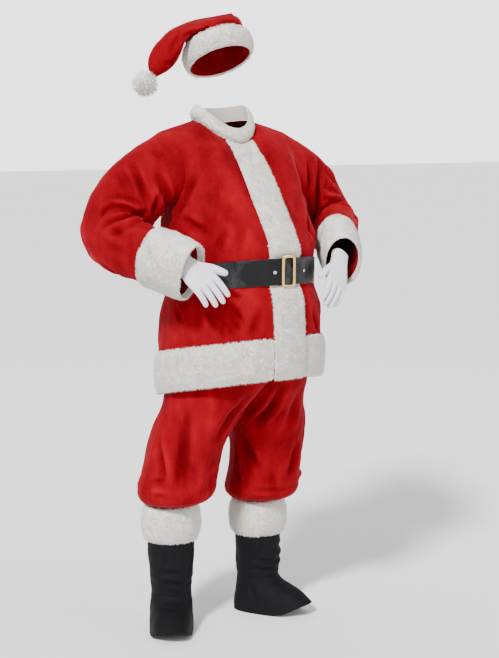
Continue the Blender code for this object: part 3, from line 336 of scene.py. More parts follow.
def makePlush():
    finish = Finish("red plush", Roughness=0.9, Sheen_Weight=0.30, Sheen_Roughness=0.36,
                    Sheen_Tint=(1.0, 0.10, 0.12, 1), Specular_IOR_Level=0.04)
    # the pile's tone varies at random, and it is painted darker in the hollows of the folds and lighter on
    # their crests, as painted shade and a painted highlight
    patches = finish.cloud(plushLook["patchScale"], 4.0, 0.62)
    strokes = finish.cloud(plushLook["strokeScale"], 3.0, 0.6, finish.stretched((1, 1, 0.28)))
    streaks = finish.cloud(plushLook["streakScale"], 2.0, 0.6, finish.stretched((1, 1, 0.35)))
    nap = finish.cloud(plushLook["napScale"], 3.0, 0.7)
    height = (patches - 0.5) * 0.7 + (strokes - 0.5) * 1.5 + finish.kept("rise") * 0.30 + 0.52
    tone = finish.colours(height, [
        (0.0, plushLook["hollow"]), (0.35, plushLook["deep"]), (0.72, plushLook["bright"]),
        (1.0, plushLook["crest"])])
    finish.feed("Base Color", finish.mix(nap ** 2.2, tone, plushLook["nap"]))
    finish.bump(nap * 0.6 + streaks * 0.4 + patches * 1.5, 0.55, 0.0016)
    return finish.material


# the locks' roots are painted darker than their tips, as painted shade deep in the pile
furLook = {
    "root": (0.76, 0.71, 0.65), "tip": (0.95, 0.915, 0.865), "warm": (0.92, 0.865, 0.795),
    "patchScale": 28.0, "hairScale": 520.0,
}


def makeFur():
    finish = Finish("off-white fur", Roughness=0.92, Sheen_Weight=0.35, Sheen_Roughness=0.5,
                    Specular_IOR_Level=0.2)
    tips = finish.mix(finish.cloud(furLook["patchScale"], 3.0, 0.6), furLook["warm"], furLook["tip"])
    # painted shade: each lock runs from the darker root colour at its base to the tip colour
    finish.feed("Base Color", finish.mix(finish.kept("reach"), furLook["root"], tips))
    finish.bump(finish.cloud(furLook["hairScale"], 2.0, 0.6), 0.5, 0.001)
    return finish.material


glossyLook = {
    "dark": (0.004, 0.004, 0.005), "grey": (0.034, 0.034, 0.038), "mottleScale": 34.0, "grainScale": 95.0,
}
mattLook = {"dark": (0.003, 0.003, 0.004), "grey": (0.009, 0.009, 0.010), "grainScale": 420.0}


def makeGlossyStrap():
    finish = Finish("glossy black strap", Roughness=0.35, Specular_IOR_Level=0.22, Coat_Weight=0.06,
                    Coat_Roughness=0.2)
    mottle = finish.cloud(glossyLook["mottleScale"], 5.0, 0.7)
    grain = finish.cloud(glossyLook["grainScale"], 4.0, 0.65)
    spots = finish.colours(mottle, [(0.40, (0, 0, 0)), (0.66, (1, 1, 1))])
    finish.feed("Base Color", finish.mix(spots, glossyLook["dark"], glossyLook["grey"]))
    finish.feed("Roughness", grain * 0.22 + 0.27)
    finish.bump(grain + mottle * 1.6, 0.45, 0.0016)
    return finish.material


def makeMattStrap():
    finish = Finish("matt black strap", Roughness=0.7, Specular_IOR_Level=0.18)
    grain = finish.cloud(mattLook["grainScale"], 3.0, 0.6)
    finish.feed("Base Color", finish.mix(grain, mattLook["dark"], mattLook["grey"]))
    finish.feed("Roughness", grain * 0.2 + 0.48)
    finish.bump(grain, 0.4, 0.0008)
    return finish.material


metalLook = {
    "gold": {"colour": (0.83, 0.55, 0.17), "roughness": 0.24},
    "silver": {"colour": (0.74, 0.74, 0.76), "roughness": 0.22},
    "smudgeScale": 60.0, "smudged": 0.86, "scuffScale": 900.0,
}


def makeMetal(name):
    colour, roughness = metalLook[name]["colour"], metalLook[name]["roughness"]
    finish = Finish(f"{name} metal", Metallic=1.0, Roughness=roughness)
    smudge = finish.cloud(metalLook["smudgeScale"], 4.0, 0.6)
    finish.feed("Base Color", finish.mix(smudge, [metalLook["smudged"] * part for part in colour], colour))
    finish.feed("Roughness", smudge * 0.16 + (roughness - 0.06))
    finish.bump(finish.cloud(metalLook["scuffScale"], 2.0, 0.5, finish.stretched((1, 1, 6))), 0.08, 0.0004)
    return finish.material


bootLook = {
    "dark": (0.002, 0.002, 0.003), "light": (0.006, 0.006, 0.007), "patchScale": 16.0, "weaveScale": 620.0,
}


def makeBootCloth():
    finish = Finish("black boot cloth", Roughness=0.75, Specular_IOR_Level=0.12)
    patches = finish.cloud(bootLook["patchScale"], 4.0, 0.6)
    weave = finish.add("ShaderNodeTexVoronoi", {}, {
        "Vector": finish.place(), "Scale": bootLook["weaveScale"]}, "Distance")
    finish.feed("Base Color", finish.mix(patches, bootLook["dark"], bootLook["light"]))
    finish.feed("Roughness", patches * 0.25 + 0.6)
    finish.bump(weave * 0.5 + patches * 2.0, 0.45, 0.0010)
    return finish.material


knitLook = {
    "shade": (0.70, 0.69, 0.76), "light": (0.84, 0.83, 0.87), "patchScale": 40.0,
    "columnScale": 190.0, "rowScale": 150.0,
}


def makeKnit():
    finish = Finish("white knit", Roughness=0.9, Sheen_Weight=0.25, Specular_IOR_Level=0.2)
    patches = finish.cloud(knitLook["patchScale"], 3.0, 0.6)
    finish.feed("Base Color", finish.mix(patches, knitLook["shade"], knitLook["light"]))
    columns, rows = finish.bands("X", knitLook["columnScale"]), finish.bands("Z", knitLook["rowScale"])
    finish.bump(columns * 0.5 + rows * 0.5, 0.45, 0.0007)
    return finish.material


plush = makePlush()
fur = makeFur()
glossyStrap = makeGlossyStrap()
mattStrap = makeMattStrap()
gold = makeMetal("gold")
silver = makeMetal("silver")
bootCloth = makeBootCloth()
knit = makeKnit()
print("materials made")


# Red cloth

def sew(node, name, axis, folds, flat, held, restsOn, calm=None, levels=3, seed=1.0, bumpHeight=0.0022,
        **more):
    # one panel: its solid's form in fine facets, folded and dressed in plush
    piece = copyNode(node, name)
    refine(piece, levels)
    drape(piece, axis, folds, calm, bumpHeight=bumpHeight, seed=seed)
    finishWith(piece, plush)


torsoAxis = [(0, -0.085, -0.70), (0, -0.085, -0.10), (0, -0.02, 0.10)]
jacket = {
    "hemFront": -0.590, "hemRide": 0.055, "trimHeight": 0.118,    # the hem's fur rides lower at the back
    "beltFront": -0.290, "beltRide": 0.032, "neckHeight": 0.12, "neckRadius": 0.10,
    "armhole": (0.204, -0.006, 0.002), "armholeRadius": 0.100,
    "frontFlat": (0.40, 0.82), "backFlat": (0.78, 0.84),
    # the folds grow from nothing to full height between these distances from each edge
    "belt": (0.040, 0.072), "hem": (0.0, 0.03), "trim": (0.056, 0.085), "neck": (0.0, 0.05),
    "sideSeam": (0.003, 0.034), "armholeSeam": (0.006, 0.034),
    "rightFolds": [
        ([(-0.210, -0.098, -0.108), (-0.218, -0.090, -0.163)], 0.017, -0.0100),
        ([(-0.213, -0.117, -0.147), (-0.203, -0.165, -0.166), (-0.185, -0.205, -0.184)], 0.015, -0.0065),
        ([(-0.179, -0.139, -0.030), (-0.200, -0.124, -0.080), (-0.211, -0.112, -0.127)], 0.014, -0.0060),
        ([(-0.170, -0.237, -0.233), (-0.160, -0.240, -0.205), (-0.148, -0.241, -0.173)], 0.013, -0.0055),
        ([(-0.120, -0.275, -0.236), (-0.112, -0.270, -0.196), (-0.118, -0.262, -0.150)], 0.017, -0.0050),
        ([(-0.205, -0.175, -0.258), (-0.212, -0.160, -0.225)], 0.010, -0.0048),
        ([(-0.205, -0.009, -0.396), (-0.215, -0.026, -0.412), (-0.222, -0.047, -0.428)], 0.010, -0.0065),
        ([(-0.221, -0.086, -0.392), (-0.227, -0.112, -0.410), (-0.229, -0.139, -0.433)], 0.010, -0.0062),
        ([(-0.194, -0.218, -0.391), (-0.190, -0.232, -0.420), (-0.186, -0.243, -0.455)], 0.011, -0.0055),
        ([(-0.086, -0.329, -0.392), (-0.099, -0.326, -0.442), (-0.116, -0.319, -0.482)], 0.015, -0.0062),
        ([(-0.140, -0.300, -0.385), (-0.146, -0.298, -0.412)], 0.009, -0.0046),
        ([(-0.226, -0.150, -0.372), (-0.235, -0.140, -0.402)], 0.008, -0.0046),
        ([(-0.172, -0.230, -0.075), (-0.140, -0.262, -0.110), (-0.098, -0.285, -0.150)], 0.022, -0.0042),
    ],
    "leftFolds": [
        ([(0.181, -0.160, -0.074), (0.190, -0.140, -0.105), (0.205, -0.105, -0.135)], 0.014, -0.0085),
        ([(0.160, -0.215, -0.150), (0.119, -0.273, -0.193)], 0.016, -0.0060),
        ([(0.100, -0.322, -0.406), (0.115, -0.318, -0.445), (0.129, -0.310, -0.482)], 0.013, -0.0062),
        ([(0.205, -0.170, -0.250), (0.196, -0.180, -0.214)], 0.010, -0.0052),
        ([(0.150, -0.255, -0.240), (0.140, -0.258, -0.196), (0.146, -0.248, -0.160)], 0.014, -0.0050),
        ([(0.170, -0.265, -0.385), (0.182, -0.255, -0.430)], 0.010, -0.0055),
        ([(0.222, -0.130, -0.385), (0.228, -0.115, -0.425)], 0.011, -0.0055),
        ([(0.214, -0.060, -0.380), (0.222, -0.042, -0.410)], 0.009, -0.0046),
        ([(0.172, -0.225, -0.060), (0.130, -0.262, -0.092), (0.090, -0.285, -0.120)], 0.020, -0.0040),
    ],
    "backFolds": [
        ([(-0.190, 0.060, -0.060), (-0.150, 0.090, -0.110), (-0.090, 0.110, -0.150)], 0.018, -0.0060),
        ([(0.188, 0.062, -0.075), (0.140, 0.095, -0.132), (0.085, 0.112, -0.188)], 0.017, -0.0058),
        ([(-0.206, 0.020, -0.120), (-0.196, 0.050, -0.190), (-0.170, 0.080, -0.240)], 0.014, -0.0070),
        ([(0.206, 0.022, -0.128), (0.198, 0.046, -0.185), (0.182, 0.070, -0.222)], 0.015, -0.0066),
        ([(-0.120, 0.105, -0.235), (-0.112, 0.110, -0.180)], 0.013, -0.0052),
        ([(-0.050, 0.115, -0.238), (-0.056, 0.118, -0.170), (-0.044, 0.116, -0.110)], 0.016, -0.0056),
        ([(0.020, 0.117, -0.240), (0.026, 0.118, -0.192)], 0.011, -0.0048),
        ([(0.090, 0.112, -0.238), (0.078, 0.116, -0.172)], 0.015, -0.0055),
        ([(0.150, 0.095, -0.240), (0.160, 0.085, -0.200)], 0.011, -0.0048),
        ([(-0.160, 0.090, -0.372), (-0.172, 0.088, -0.420)], 0.011, -0.0055),
        ([(-0.088, 0.120, -0.372), (-0.094, 0.124, -0.452)], 0.013, -0.0060),
        ([(-0.020, 0.128, -0.372), (-0.012, 0.130, -0.412)], 0.010, -0.0050),
        ([(0.058, 0.125, -0.372), (0.070, 0.125, -0.462)], 0.014, -0.0060),
        ([(0.128, 0.108, -0.372), (0.124, 0.110, -0.408)], 0.009, -0.0048),
        ([(0.186, 0.072, -0.380), (0.194, 0.066, -0.436)], 0.012, -0.0055),
        ([(-0.090, 0.095, 0.020), (0.000, 0.105, -0.010), (0.095, 0.095, 0.024)], 0.024, -0.0040),
    ],
}


def jacketCalm(spots):
    # no folds under the belt and the fur, nor where a seam would open
    x, z = spots[:, 0], spots[:, 2]
    y = spots[:, 1] - torsoAxis[0][1]
    forward = -y / np.hypot(x, y)
    belt = jacket["beltFront"] - jacket["beltRide"] * (1 - forward)
    hem = jacket["hemFront"] - jacket["hemRide"] * (1 - forward) + jacket["trimHeight"]
    offNeck = np.hypot(np.hypot(x, spots[:, 1]), z - jacket["neckHeight"]) - jacket["neckRadius"]
    armX, armY, armZ = jacket["armhole"]
    offRing = np.hypot(spots[:, 1] - armY, z - armZ) - jacket["armholeRadius"]
    calm = np.where(forward > 0, ramp(*jacket["trim"], np.abs(x)), 1.0)
    distances = {"belt": np.abs(z - belt), "hem": z - hem, "neck": offNeck, "sideSeam": np.abs(y),
                 "armholeSeam": np.hypot(np.abs(x) - armX, offRing)}
    for edge, distance in distances.items():
        calm *= ramp(*jacket[edge], distance)
    return calm


for side, way in sides.items():
    sew(f"jacket_front_{side}", f"jacketFront{side.title()}", torsoAxis, jacket[f"{side}Folds"],
        jacket["frontFlat"], "hung", ["jacket_back"], jacketCalm, seed=1.5 + way / 2)
sew("jacket_back", "jacketBack", torsoAxis, jacket["backFolds"], jacket["backFlat"], "hung",
    ["jacket_front_right", "jacket_front_left"], jacketCalm, seed=3.0)
print("jacket made")

sleeves = {
    "right": {
        "axis": [(-0.204, -0.006, 0.002), (-0.296, 0.004, -0.074), (-0.386, 0.008, -0.178),
                 (-0.361, -0.088, -0.224), (-0.279, -0.276, -0.282)],
        "folds": [
            ([(-0.335, -0.036, 0.015), (-0.333, -0.063, -0.014), (-0.319, -0.076, -0.052),
              (-0.306, -0.082, -0.091), (-0.290, -0.082, -0.122)], 0.012, -0.0095),
            ([(-0.270, -0.082, -0.019), (-0.260, -0.094, -0.053), (-0.249, -0.097, -0.081),
              (-0.232, -0.073, -0.115)], 0.014, -0.0105),
            ([(-0.276, -0.090, -0.083), (-0.279, -0.087, -0.109), (-0.280, -0.070, -0.146)], 0.010, -0.0085),
            ([(-0.404, -0.046, -0.096), (-0.378, -0.064, -0.098), (-0.347, -0.075, -0.109),
              (-0.326, -0.078, -0.122)], 0.010, 0.0085),
            ([(-0.434, -0.044, -0.135), (-0.418, -0.048, -0.119), (-0.399, -0.054, -0.110)], 0.009, -0.0060),
            ([(-0.440, -0.068, -0.159), (-0.387, -0.098, -0.138), (-0.306, -0.078, -0.133)], 0.012, -0.0090),
            ([(-0.434, -0.100, -0.179), (-0.385, -0.138, -0.158), (-0.300, -0.090, -0.156)], 0.012, -0.0075),
            ([(-0.366, -0.028, -0.008), (-0.352, -0.067, -0.054)], 0.019, -0.0070),
            ([(-0.271, -0.042, 0.053), (-0.251, -0.079, 0.019)], 0.015, -0.0055),
            ([(-0.432, -0.089, -0.165), (-0.408, -0.146, -0.188), (-0.372, -0.190, -0.201)], 0.014, -0.0058),
            ([(-0.443, -0.098, -0.209), (-0.411, -0.149, -0.237), (-0.377, -0.198, -0.255)], 0.015, -0.0050),
            ([(-0.300, 0.090, 0.010), (-0.335, 0.088, -0.040), (-0.372, 0.080, -0.080)], 0.018, -0.0060),
            ([(-0.250, 0.092, -0.050), (-0.285, 0.095, -0.095), (-0.330, 0.090, -0.130)], 0.014, -0.0070),
            ([(-0.440, 0.040, -0.150), (-0.430, 0.070, -0.185), (-0.400, 0.080, -0.220)], 0.013, -0.0065),
            ([(-0.450, 0.010, -0.190), (-0.430, 0.030, -0.240), (-0.395, 0.030, -0.275)], 0.014, -0.0060),
            ([(-0.430, -0.050, -0.260), (-0.395, -0.070, -0.300), (-0.350, -0.070, -0.310)], 0.014, -0.0055),
            ([(-0.240, 0.030, -0.110), (-0.270, 0.010, -0.150), (-0.310, -0.010, -0.185)], 0.013, -0.0080),
        ],
    },
    "left": {
        "axis": [(0.204, -0.006, 0.002), (0.296, 0.004, -0.074), (0.380, 0.004, -0.178),
                 (0.350, -0.096, -0.224), (0.228, -0.282, -0.266)],
        "folds": [
            ([(0.315, -0.060, 0.012), (0.300, -0.080, -0.035), (0.284, -0.090, -0.079),
              (0.292, -0.082, -0.125), (0.302, -0.070, -0.168)], 0.013, -0.0098),
            ([(0.316, -0.082, -0.091), (0.352, -0.076, -0.098), (0.389, -0.068, -0.108)], 0.011, 0.0080),
            ([(0.312, -0.075, -0.147), (0.365, -0.090, -0.131), (0.421, -0.091, -0.149)], 0.013, -0.0075),
            ([(0.326, -0.067, -0.015), (0.355, -0.062, -0.038), (0.384, -0.055, -0.061)], 0.015, -0.0068),
            ([(0.262, -0.088, 0.010), (0.252, -0.097, -0.040), (0.246, -0.092, -0.080)], 0.012, -0.0080),
            ([(0.432, -0.070, -0.150), (0.402, -0.120, -0.168), (0.360, -0.150, -0.180)], 0.013, -0.0060),
            ([(0.300, 0.092, 0.004), (0.338, 0.090, -0.035), (0.368, 0.082, -0.070)], 0.017, -0.0060),
            ([(0.254, 0.092, -0.060), (0.288, 0.094, -0.110), (0.322, 0.090, -0.150)], 0.014, -0.0070),
            ([(0.446, 0.030, -0.140), (0.438, 0.062, -0.180), (0.404, 0.078, -0.214)], 0.013, -0.0065),
            ([(0.450, 0.000, -0.200), (0.424, 0.020, -0.250), (0.385, 0.020, -0.285)], 0.015, -0.0060),
            ([(0.412, -0.080, -0.250), (0.372, -0.100, -0.290), (0.325, -0.100, -0.300)], 0.013, -0.0052),
            ([(0.360, -0.020, 0.010), (0.395, 0.000, -0.040)], 0.016, -0.0052),
        ],
    },
    "flat": (0.60, 0.66), "armhole": (0.206, 0.236), "cuff": (-0.160, -0.105),
}


def sleeveCalm(spots):
    # the armhole seam lies still, and so does what the cuff covers
    return ramp(*sleeves["armhole"], np.abs(spots[:, 0])) * ramp(*sleeves["cuff"], spots[:, 1])


for side, way in sides.items():
    sew(f"sleeve_{side}", f"sleeve{side.title()}", sleeves[side]["axis"], sleeves[side]["folds"],
        sleeves["flat"], "hung", [f"jacket_front_{side}"], sleeveCalm, seed=4.0 + way)
print("sleeves made")

trousers = {
    "right": {
        "front": [
            ([(-0.244, -0.058, -0.764), (-0.243, -0.076, -0.821), (-0.227, -0.084, -0.920)], 0.012, 0.0075),
            ([(-0.252, -0.040, -0.790), (-0.250, -0.056, -0.850), (-0.240, -0.062, -0.910)], 0.011, -0.0070),
            ([(-0.200, -0.134, -0.700), (-0.210, -0.113, -0.834), (-0.207, -0.094, -0.943)], 0.019, -0.0085),
            ([(-0.152, -0.135, -0.850), (-0.152, -0.117, -0.916), (-0.158, -0.105, -0.950)], 0.021, 0.0070),
            ([(-0.070, -0.230, -0.640), (-0.110, -0.190, -0.720), (-0.130, -0.150, -0.800)], 0.018, -0.0070),
            ([(-0.012, -0.200, -0.690), (-0.046, -0.150, -0.745), (-0.070, -0.110, -0.800)], 0.013, -0.0085),
            ([(-0.052, -0.060, -0.830), (-0.062, -0.068, -0.880), (-0.082, -0.070, -0.930)], 0.013, -0.0065),
            ([(-0.106, -0.104, -0.972), (-0.100, -0.118, -0.905)], 0.014, -0.0036),
            ([(-0.262, -0.020, -0.950), (-0.250, -0.050, -0.942), (-0.236, -0.072, -0.952)], 0.012, 0.0070),
            ([(-0.256, -0.030, -0.922), (-0.240, -0.058, -0.914)], 0.010, -0.0052),
        ],
        "back": [
            ([(-0.120, 0.120, -0.640), (-0.140, 0.110, -0.730), (-0.150, 0.112, -0.820)], 0.018, -0.0075),
            ([(-0.020, 0.070, -0.690), (-0.052, 0.075, -0.750), (-0.076, 0.085, -0.830)], 0.014, -0.0085),
            ([(-0.215, 0.070, -0.760), (-0.222, 0.080, -0.850), (-0.212, 0.100, -0.930)], 0.017, -0.0080),
            ([(-0.100, 0.105, -0.900), (-0.104, 0.120, -0.950)], 0.010, -0.0065),
            ([(-0.160, 0.125, -0.915), (-0.156, 0.130, -0.962)], 0.009, -0.0062),
            ([(-0.205, 0.110, -0.900), (-0.214, 0.112, -0.960)], 0.010, -0.0066),
            ([(-0.246, 0.070, -0.925), (-0.252, 0.070, -0.962)], 0.008, -0.0060),
            ([(-0.060, 0.060, -0.910), (-0.062, 0.070, -0.955)], 0.009, -0.0060),
            ([(-0.190, 0.080, -0.620), (-0.150, 0.120, -0.665)], 0.018, -0.0055),
        ],
    },
    "left": {
        "front": [
            ([(0.041, -0.247, -0.638), (0.051, -0.181, -0.717), (0.031, -0.124, -0.764)], 0.015, -0.0100),
            ([(0.006, -0.240, -0.640), (0.006, -0.160, -0.700), (0.010, -0.085, -0.755)], 0.011, -0.0085),
            ([(0.028, -0.040, -0.800), (0.044, -0.036, -0.849), (0.063, -0.043, -0.945)], 0.012, 0.0070),
            ([(0.033, -0.067, -0.803), (0.057, -0.072, -0.860), (0.077, -0.078, -0.912)], 0.014, -0.0080),
            ([(0.051, -0.013, -0.930), (0.056, -0.020, -0.962)], 0.009, -0.0080),
            ([(0.178, -0.120, -0.842), (0.180, -0.105, -0.900), (0.172, -0.095, -0.955)], 0.018, -0.0075),
            ([(0.110, -0.210, -0.650), (0.132, -0.160, -0.730), (0.128, -0.140, -0.800)], 0.019, -0.0060),
            ([(0.215, -0.110, -0.700), (0.222, -0.080, -0.790), (0.224, -0.060, -0.880)], 0.016, -0.0065),
            ([(0.120, -0.100, -0.996), (0.112, -0.112, -0.930)], 0.014, -0.0034),
            ([(0.062, -0.060, -0.986), (0.120, -0.098, -0.990), (0.190, -0.082, -0.984)], 0.012, -0.0036),
            ([(0.226, -0.060, -0.960), (0.242, -0.020, -0.952)], 0.012, 0.0050),
        ],
        "back": [
            ([(0.118, 0.120, -0.650), (0.136, 0.108, -0.740), (0.140, 0.110, -0.810)], 0.018, -0.0070),
            ([(0.022, 0.070, -0.695), (0.050, 0.074, -0.762), (0.070, 0.082, -0.850)], 0.014, -0.0085),
            ([(0.210, 0.068, -0.780), (0.214, 0.078, -0.870), (0.204, 0.096, -0.950)], 0.016, -0.0075),
            ([(0.096, 0.100, -0.930), (0.100, 0.114, -0.985)], 0.010, -0.0062),
            ([(0.146, 0.118, -0.945), (0.150, 0.124, -0.988)], 0.009, -0.0060),
            ([(0.196, 0.104, -0.930), (0.204, 0.104, -0.985)], 0.009, -0.0062),
            ([(0.238, 0.062, -0.950), (0.242, 0.062, -0.985)], 0.008, -0.0056),
            ([(0.185, 0.080, -0.625), (0.150, 0.118, -0.680)], 0.017, -0.0052),
        ],
    },
    "flat": (0.38, 0.74), "waistFlat": (1.40, 0.040),
    "lowest": {"right": -0.992, "left": -1.018}, "gather": (0, 0.020), "sideSeam": (0.003, 0.028),
    "riseSeam": (0.004, 0.030), "riseFrom": -0.78, "underJacket": (-0.46, -0.56),
    "axis": [(0.159, 0.044, -1.060), (0.154, 0.018, -0.938), (0.148, -0.018, -0.830),
             (0.110, -0.050, -0.720), (0.060, -0.080, -0.560), (0.010, -0.085, -0.360)],
}


def trouserCalm(spots):
    # the gathered ends, the seams and what the jacket covers lie still
    x, y, z = spots.T
    _, middle, heights = zip(*trousers["axis"])
    lowest = np.where(x < 0, trousers["lowest"]["right"], trousers["lowest"]["left"])
    calm = np.where(z > trousers["riseFrom"], ramp(*trousers["riseSeam"], np.abs(x)), 1.0)
    calm *= ramp(*trousers["sideSeam"], np.abs(y - np.interp(z, heights, middle)))
    return calm * ramp(*trousers["gather"], z - lowest) * ramp(*trousers["underJacket"], z)


def legLine(side, low, high):
    x, y, _ = trousers["axis"][0]
    return [(sides[side] * x, y, low), (sides[side] * x, y, high)]


for side, way in sides.items():
    axis = [(way * x, y, z) for x, y, z in trousers["axis"]]
    for face in ("front", "back"):
        sew(f"trouser_{face}_{side}", f"trouser{face.title()}{side.title()}", axis, trousers[side][face],
            trousers["flat"], "hung", ["waistband"], trouserCalm, seed=7.0 + way)
sew("waistband", "trouserWaistband", torsoAxis, [], trousers["waistFlat"], "gathered", ["trouser_back_left"],
    levels=2, bumpHeight=0.0)
print("trousers made")

hat = {
    "axis": [(0, 0.010, 0.300), (0, 0.036, 0.362), (-0.010, 0.045, 0.405), (-0.048, 0.049, 0.407),
             (-0.090, 0.051, 0.394), (-0.122, 0.052, 0.374), (-0.140, 0.052, 0.350), (-0.160, 0.052, 0.320),
             (-0.182, 0.052, 0.294), (-0.204, 0.052, 0.260)],
    "folds": [
        ([(0.030, -0.052, 0.392), (-0.016, -0.048, 0.412), (-0.066, -0.030, 0.418)], 0.011, -0.0050),
        ([(0.062, -0.020, 0.404), (0.030, 0.010, 0.436), (-0.020, 0.030, 0.448)], 0.012, -0.0042),
        ([(-0.070, -0.026, 0.372), (-0.108, -0.010, 0.376), (-0.140, 0.010, 0.352)], 0.010, -0.0048),
        ([(-0.118, 0.006, 0.395), (-0.146, 0.012, 0.362), (-0.164, 0.016, 0.324)], 0.010, -0.0040),
        ([(-0.150, 0.022, 0.300), (-0.180, 0.022, 0.290)], 0.008, -0.0036),
        ([(0.040, 0.120, 0.390), (-0.010, 0.110, 0.418), (-0.062, 0.095, 0.420)], 0.012, -0.0046),
        ([(-0.090, 0.090, 0.372), (-0.128, 0.086, 0.350)], 0.010, -0.0044),
        ([(-0.080, 0.020, 0.350), (-0.070, 0.050, 0.342)], 0.009, -0.0040),
    ],
    "flat": (0.58, 0.42), "area": 0.135,    # two triangles, cut from that rectangle
    "band": (0.330, 0.365), "tailSlope": 0.8,
}


def hatCalm(spots):
    # what the band covers lies still, but not the tail that hangs past it
    return ramp(*hat["band"], spots[:, 2] - hat["tailSlope"] * np.minimum(spots[:, 0], 0))


sew("hat_cone", "hatCone", hat["axis"], hat["folds"], hat["flat"], "draped", ["hat_band"], hatCalm, seed=9.0,
    bumpHeight=0.0014, area=hat["area"])
print("hat made")


# Fur: a pad on the trim's own form, and locks that grow out of it

trimPile = {"spacing": 0.0023, "length": 0.0068, "lean": 0.70, "droop": 0.25}
lock = {
    "root": 0.0014, "inset": 0.0008, "clump": 0.020, "sway": 1.1, "stray": 0.30, "rootShade": 0.25,
    "lengths": (0.7, 1.1), "widths": (0.75, 1.2), "turnedIn": -0.15,
}
trimPad = {"sink": 0.0030, "lump": 0.0020, "lumpSize": 0.030, "fill": 0.6}


def sowRoots(pad, axis, spacing, generator):
    # spots spread evenly over the pad's outer side, and the way the pad faces at each
    mesh = pad.data
    mesh.calc_loop_triangles()
    corners = np.empty(len(mesh.loop_triangles) * 3, int)
    mesh.loop_triangles.foreach_get("vertices", corners)
    corners = corners.reshape(-1, 3)
    spots = spotsOf(pad)
    first, second, third = (spots[corners[:, k]] for k in range(3))
    cross = np.cross(second - first, third - first)
    area = np.linalg.norm(cross, axis=1) / 2
    normal = cross / (2 * area[:, None] + 1e-15)
    middle = (first + second + third) / 3
    _, near, _ = nearestOn(axis, middle)
    outside = dots(normal, unit(middle - near)) > lock["turnedIn"]
    weight = np.where(outside, area, 0)
    count = int(weight.sum() / spacing ** 2)
    chosen = generator.choice(len(area), count, p=weight / weight.sum())
    a, b = generator.random((2, count))
    over = a + b > 1
    a[over], b[over] = 1 - a[over], 1 - b[over]
    root = first[chosen] + a[:, None] * (second - first)[chosen] + b[:, None] * (third - first)[chosen]
    return root, normal[chosen]


def growFur(pad, name, axis, seed, pile):
    generator = np.random.default_rng(seed)
    root, up = sowRoots(pad, axis, pile["spacing"], generator)
    count = len(root)

    # neighbours lean the same way, so that the pile parts into clumps
    sways = [unevenness(root, lock["clump"], seed * 3.7 + k * 11.3) for k in range(3)]
    wind = np.stack(sways, 1) * lock["sway"]
    wind += generator.normal(0, lock["stray"], (count, 3))
    wind[:, 2] -= pile["droop"]
    wind -= up * dots(wind, up)[:, None]
    heading = unit(up + pile["lean"] * wind)
    tip = root + heading * pile["length"] * generator.uniform(*lock["lengths"], count)[:, None]

    # each lock is a three-sided root and a tip
    sideways = unit(np.cross(heading, generator.normal(0, 1, (count, 3))))
    across = np.cross(heading, sideways)
    width = lock["root"] * generator.uniform(*lock["widths"], count)[:, None]
    verts = np.empty((count, 4, 3))
    for k in range(3):
        turn = 2 * math.pi * k / 3
        around = sideways * math.cos(turn) + across * math.sin(turn)
        verts[:, k] = root - up * lock["inset"] + around * width
    verts[:, 3] = tip
    faces = np.array([[0, 1, 3], [1, 2, 3], [2, 0, 3]])[None] + 4 * np.arange(count)[:, None, None]
    locks = bpy.data.meshes.new(name)
    locks.from_pydata(verts.reshape(-1, 3), [], faces.reshape(-1, 3))
    keepOn(locks, "reach", np.tile([lock["rootShade"]] * 3 + [1.0], count))
    locks.shade_smooth()
    piece = addToScene(name, locks)
    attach(piece, "root")
    finishWith(piece, fur)


def furTrim(node, name, axis, seed, dents):
    # a pad that is a little thinner than its solid, so that the pile ends where the solid does
    pad = copyNode(node, name)
    refine(pad, 2)
    spots = spotsOf(pad)
    normals = np.empty(len(spots) * 3)
    pad.data.vertices.foreach_get("normal", normals)
    normals = normals.reshape(-1, 3)
    lumps = trimPad["lump"] * unevenness(spots, trimPad["lumpSize"], seed) - trimPad["sink"]
    lumps += foldHeights(spots, dents)
    _, near, _ = nearestOn(axis, spots)
    outer = dots(normals, spots - near) > 0
    placeSpots(pad, spots + normals * (lumps * outer)[:, None])
    finishWith(pad, fur)
    growFur(pad, f"{name}Pile", axis, seed, trimPile)


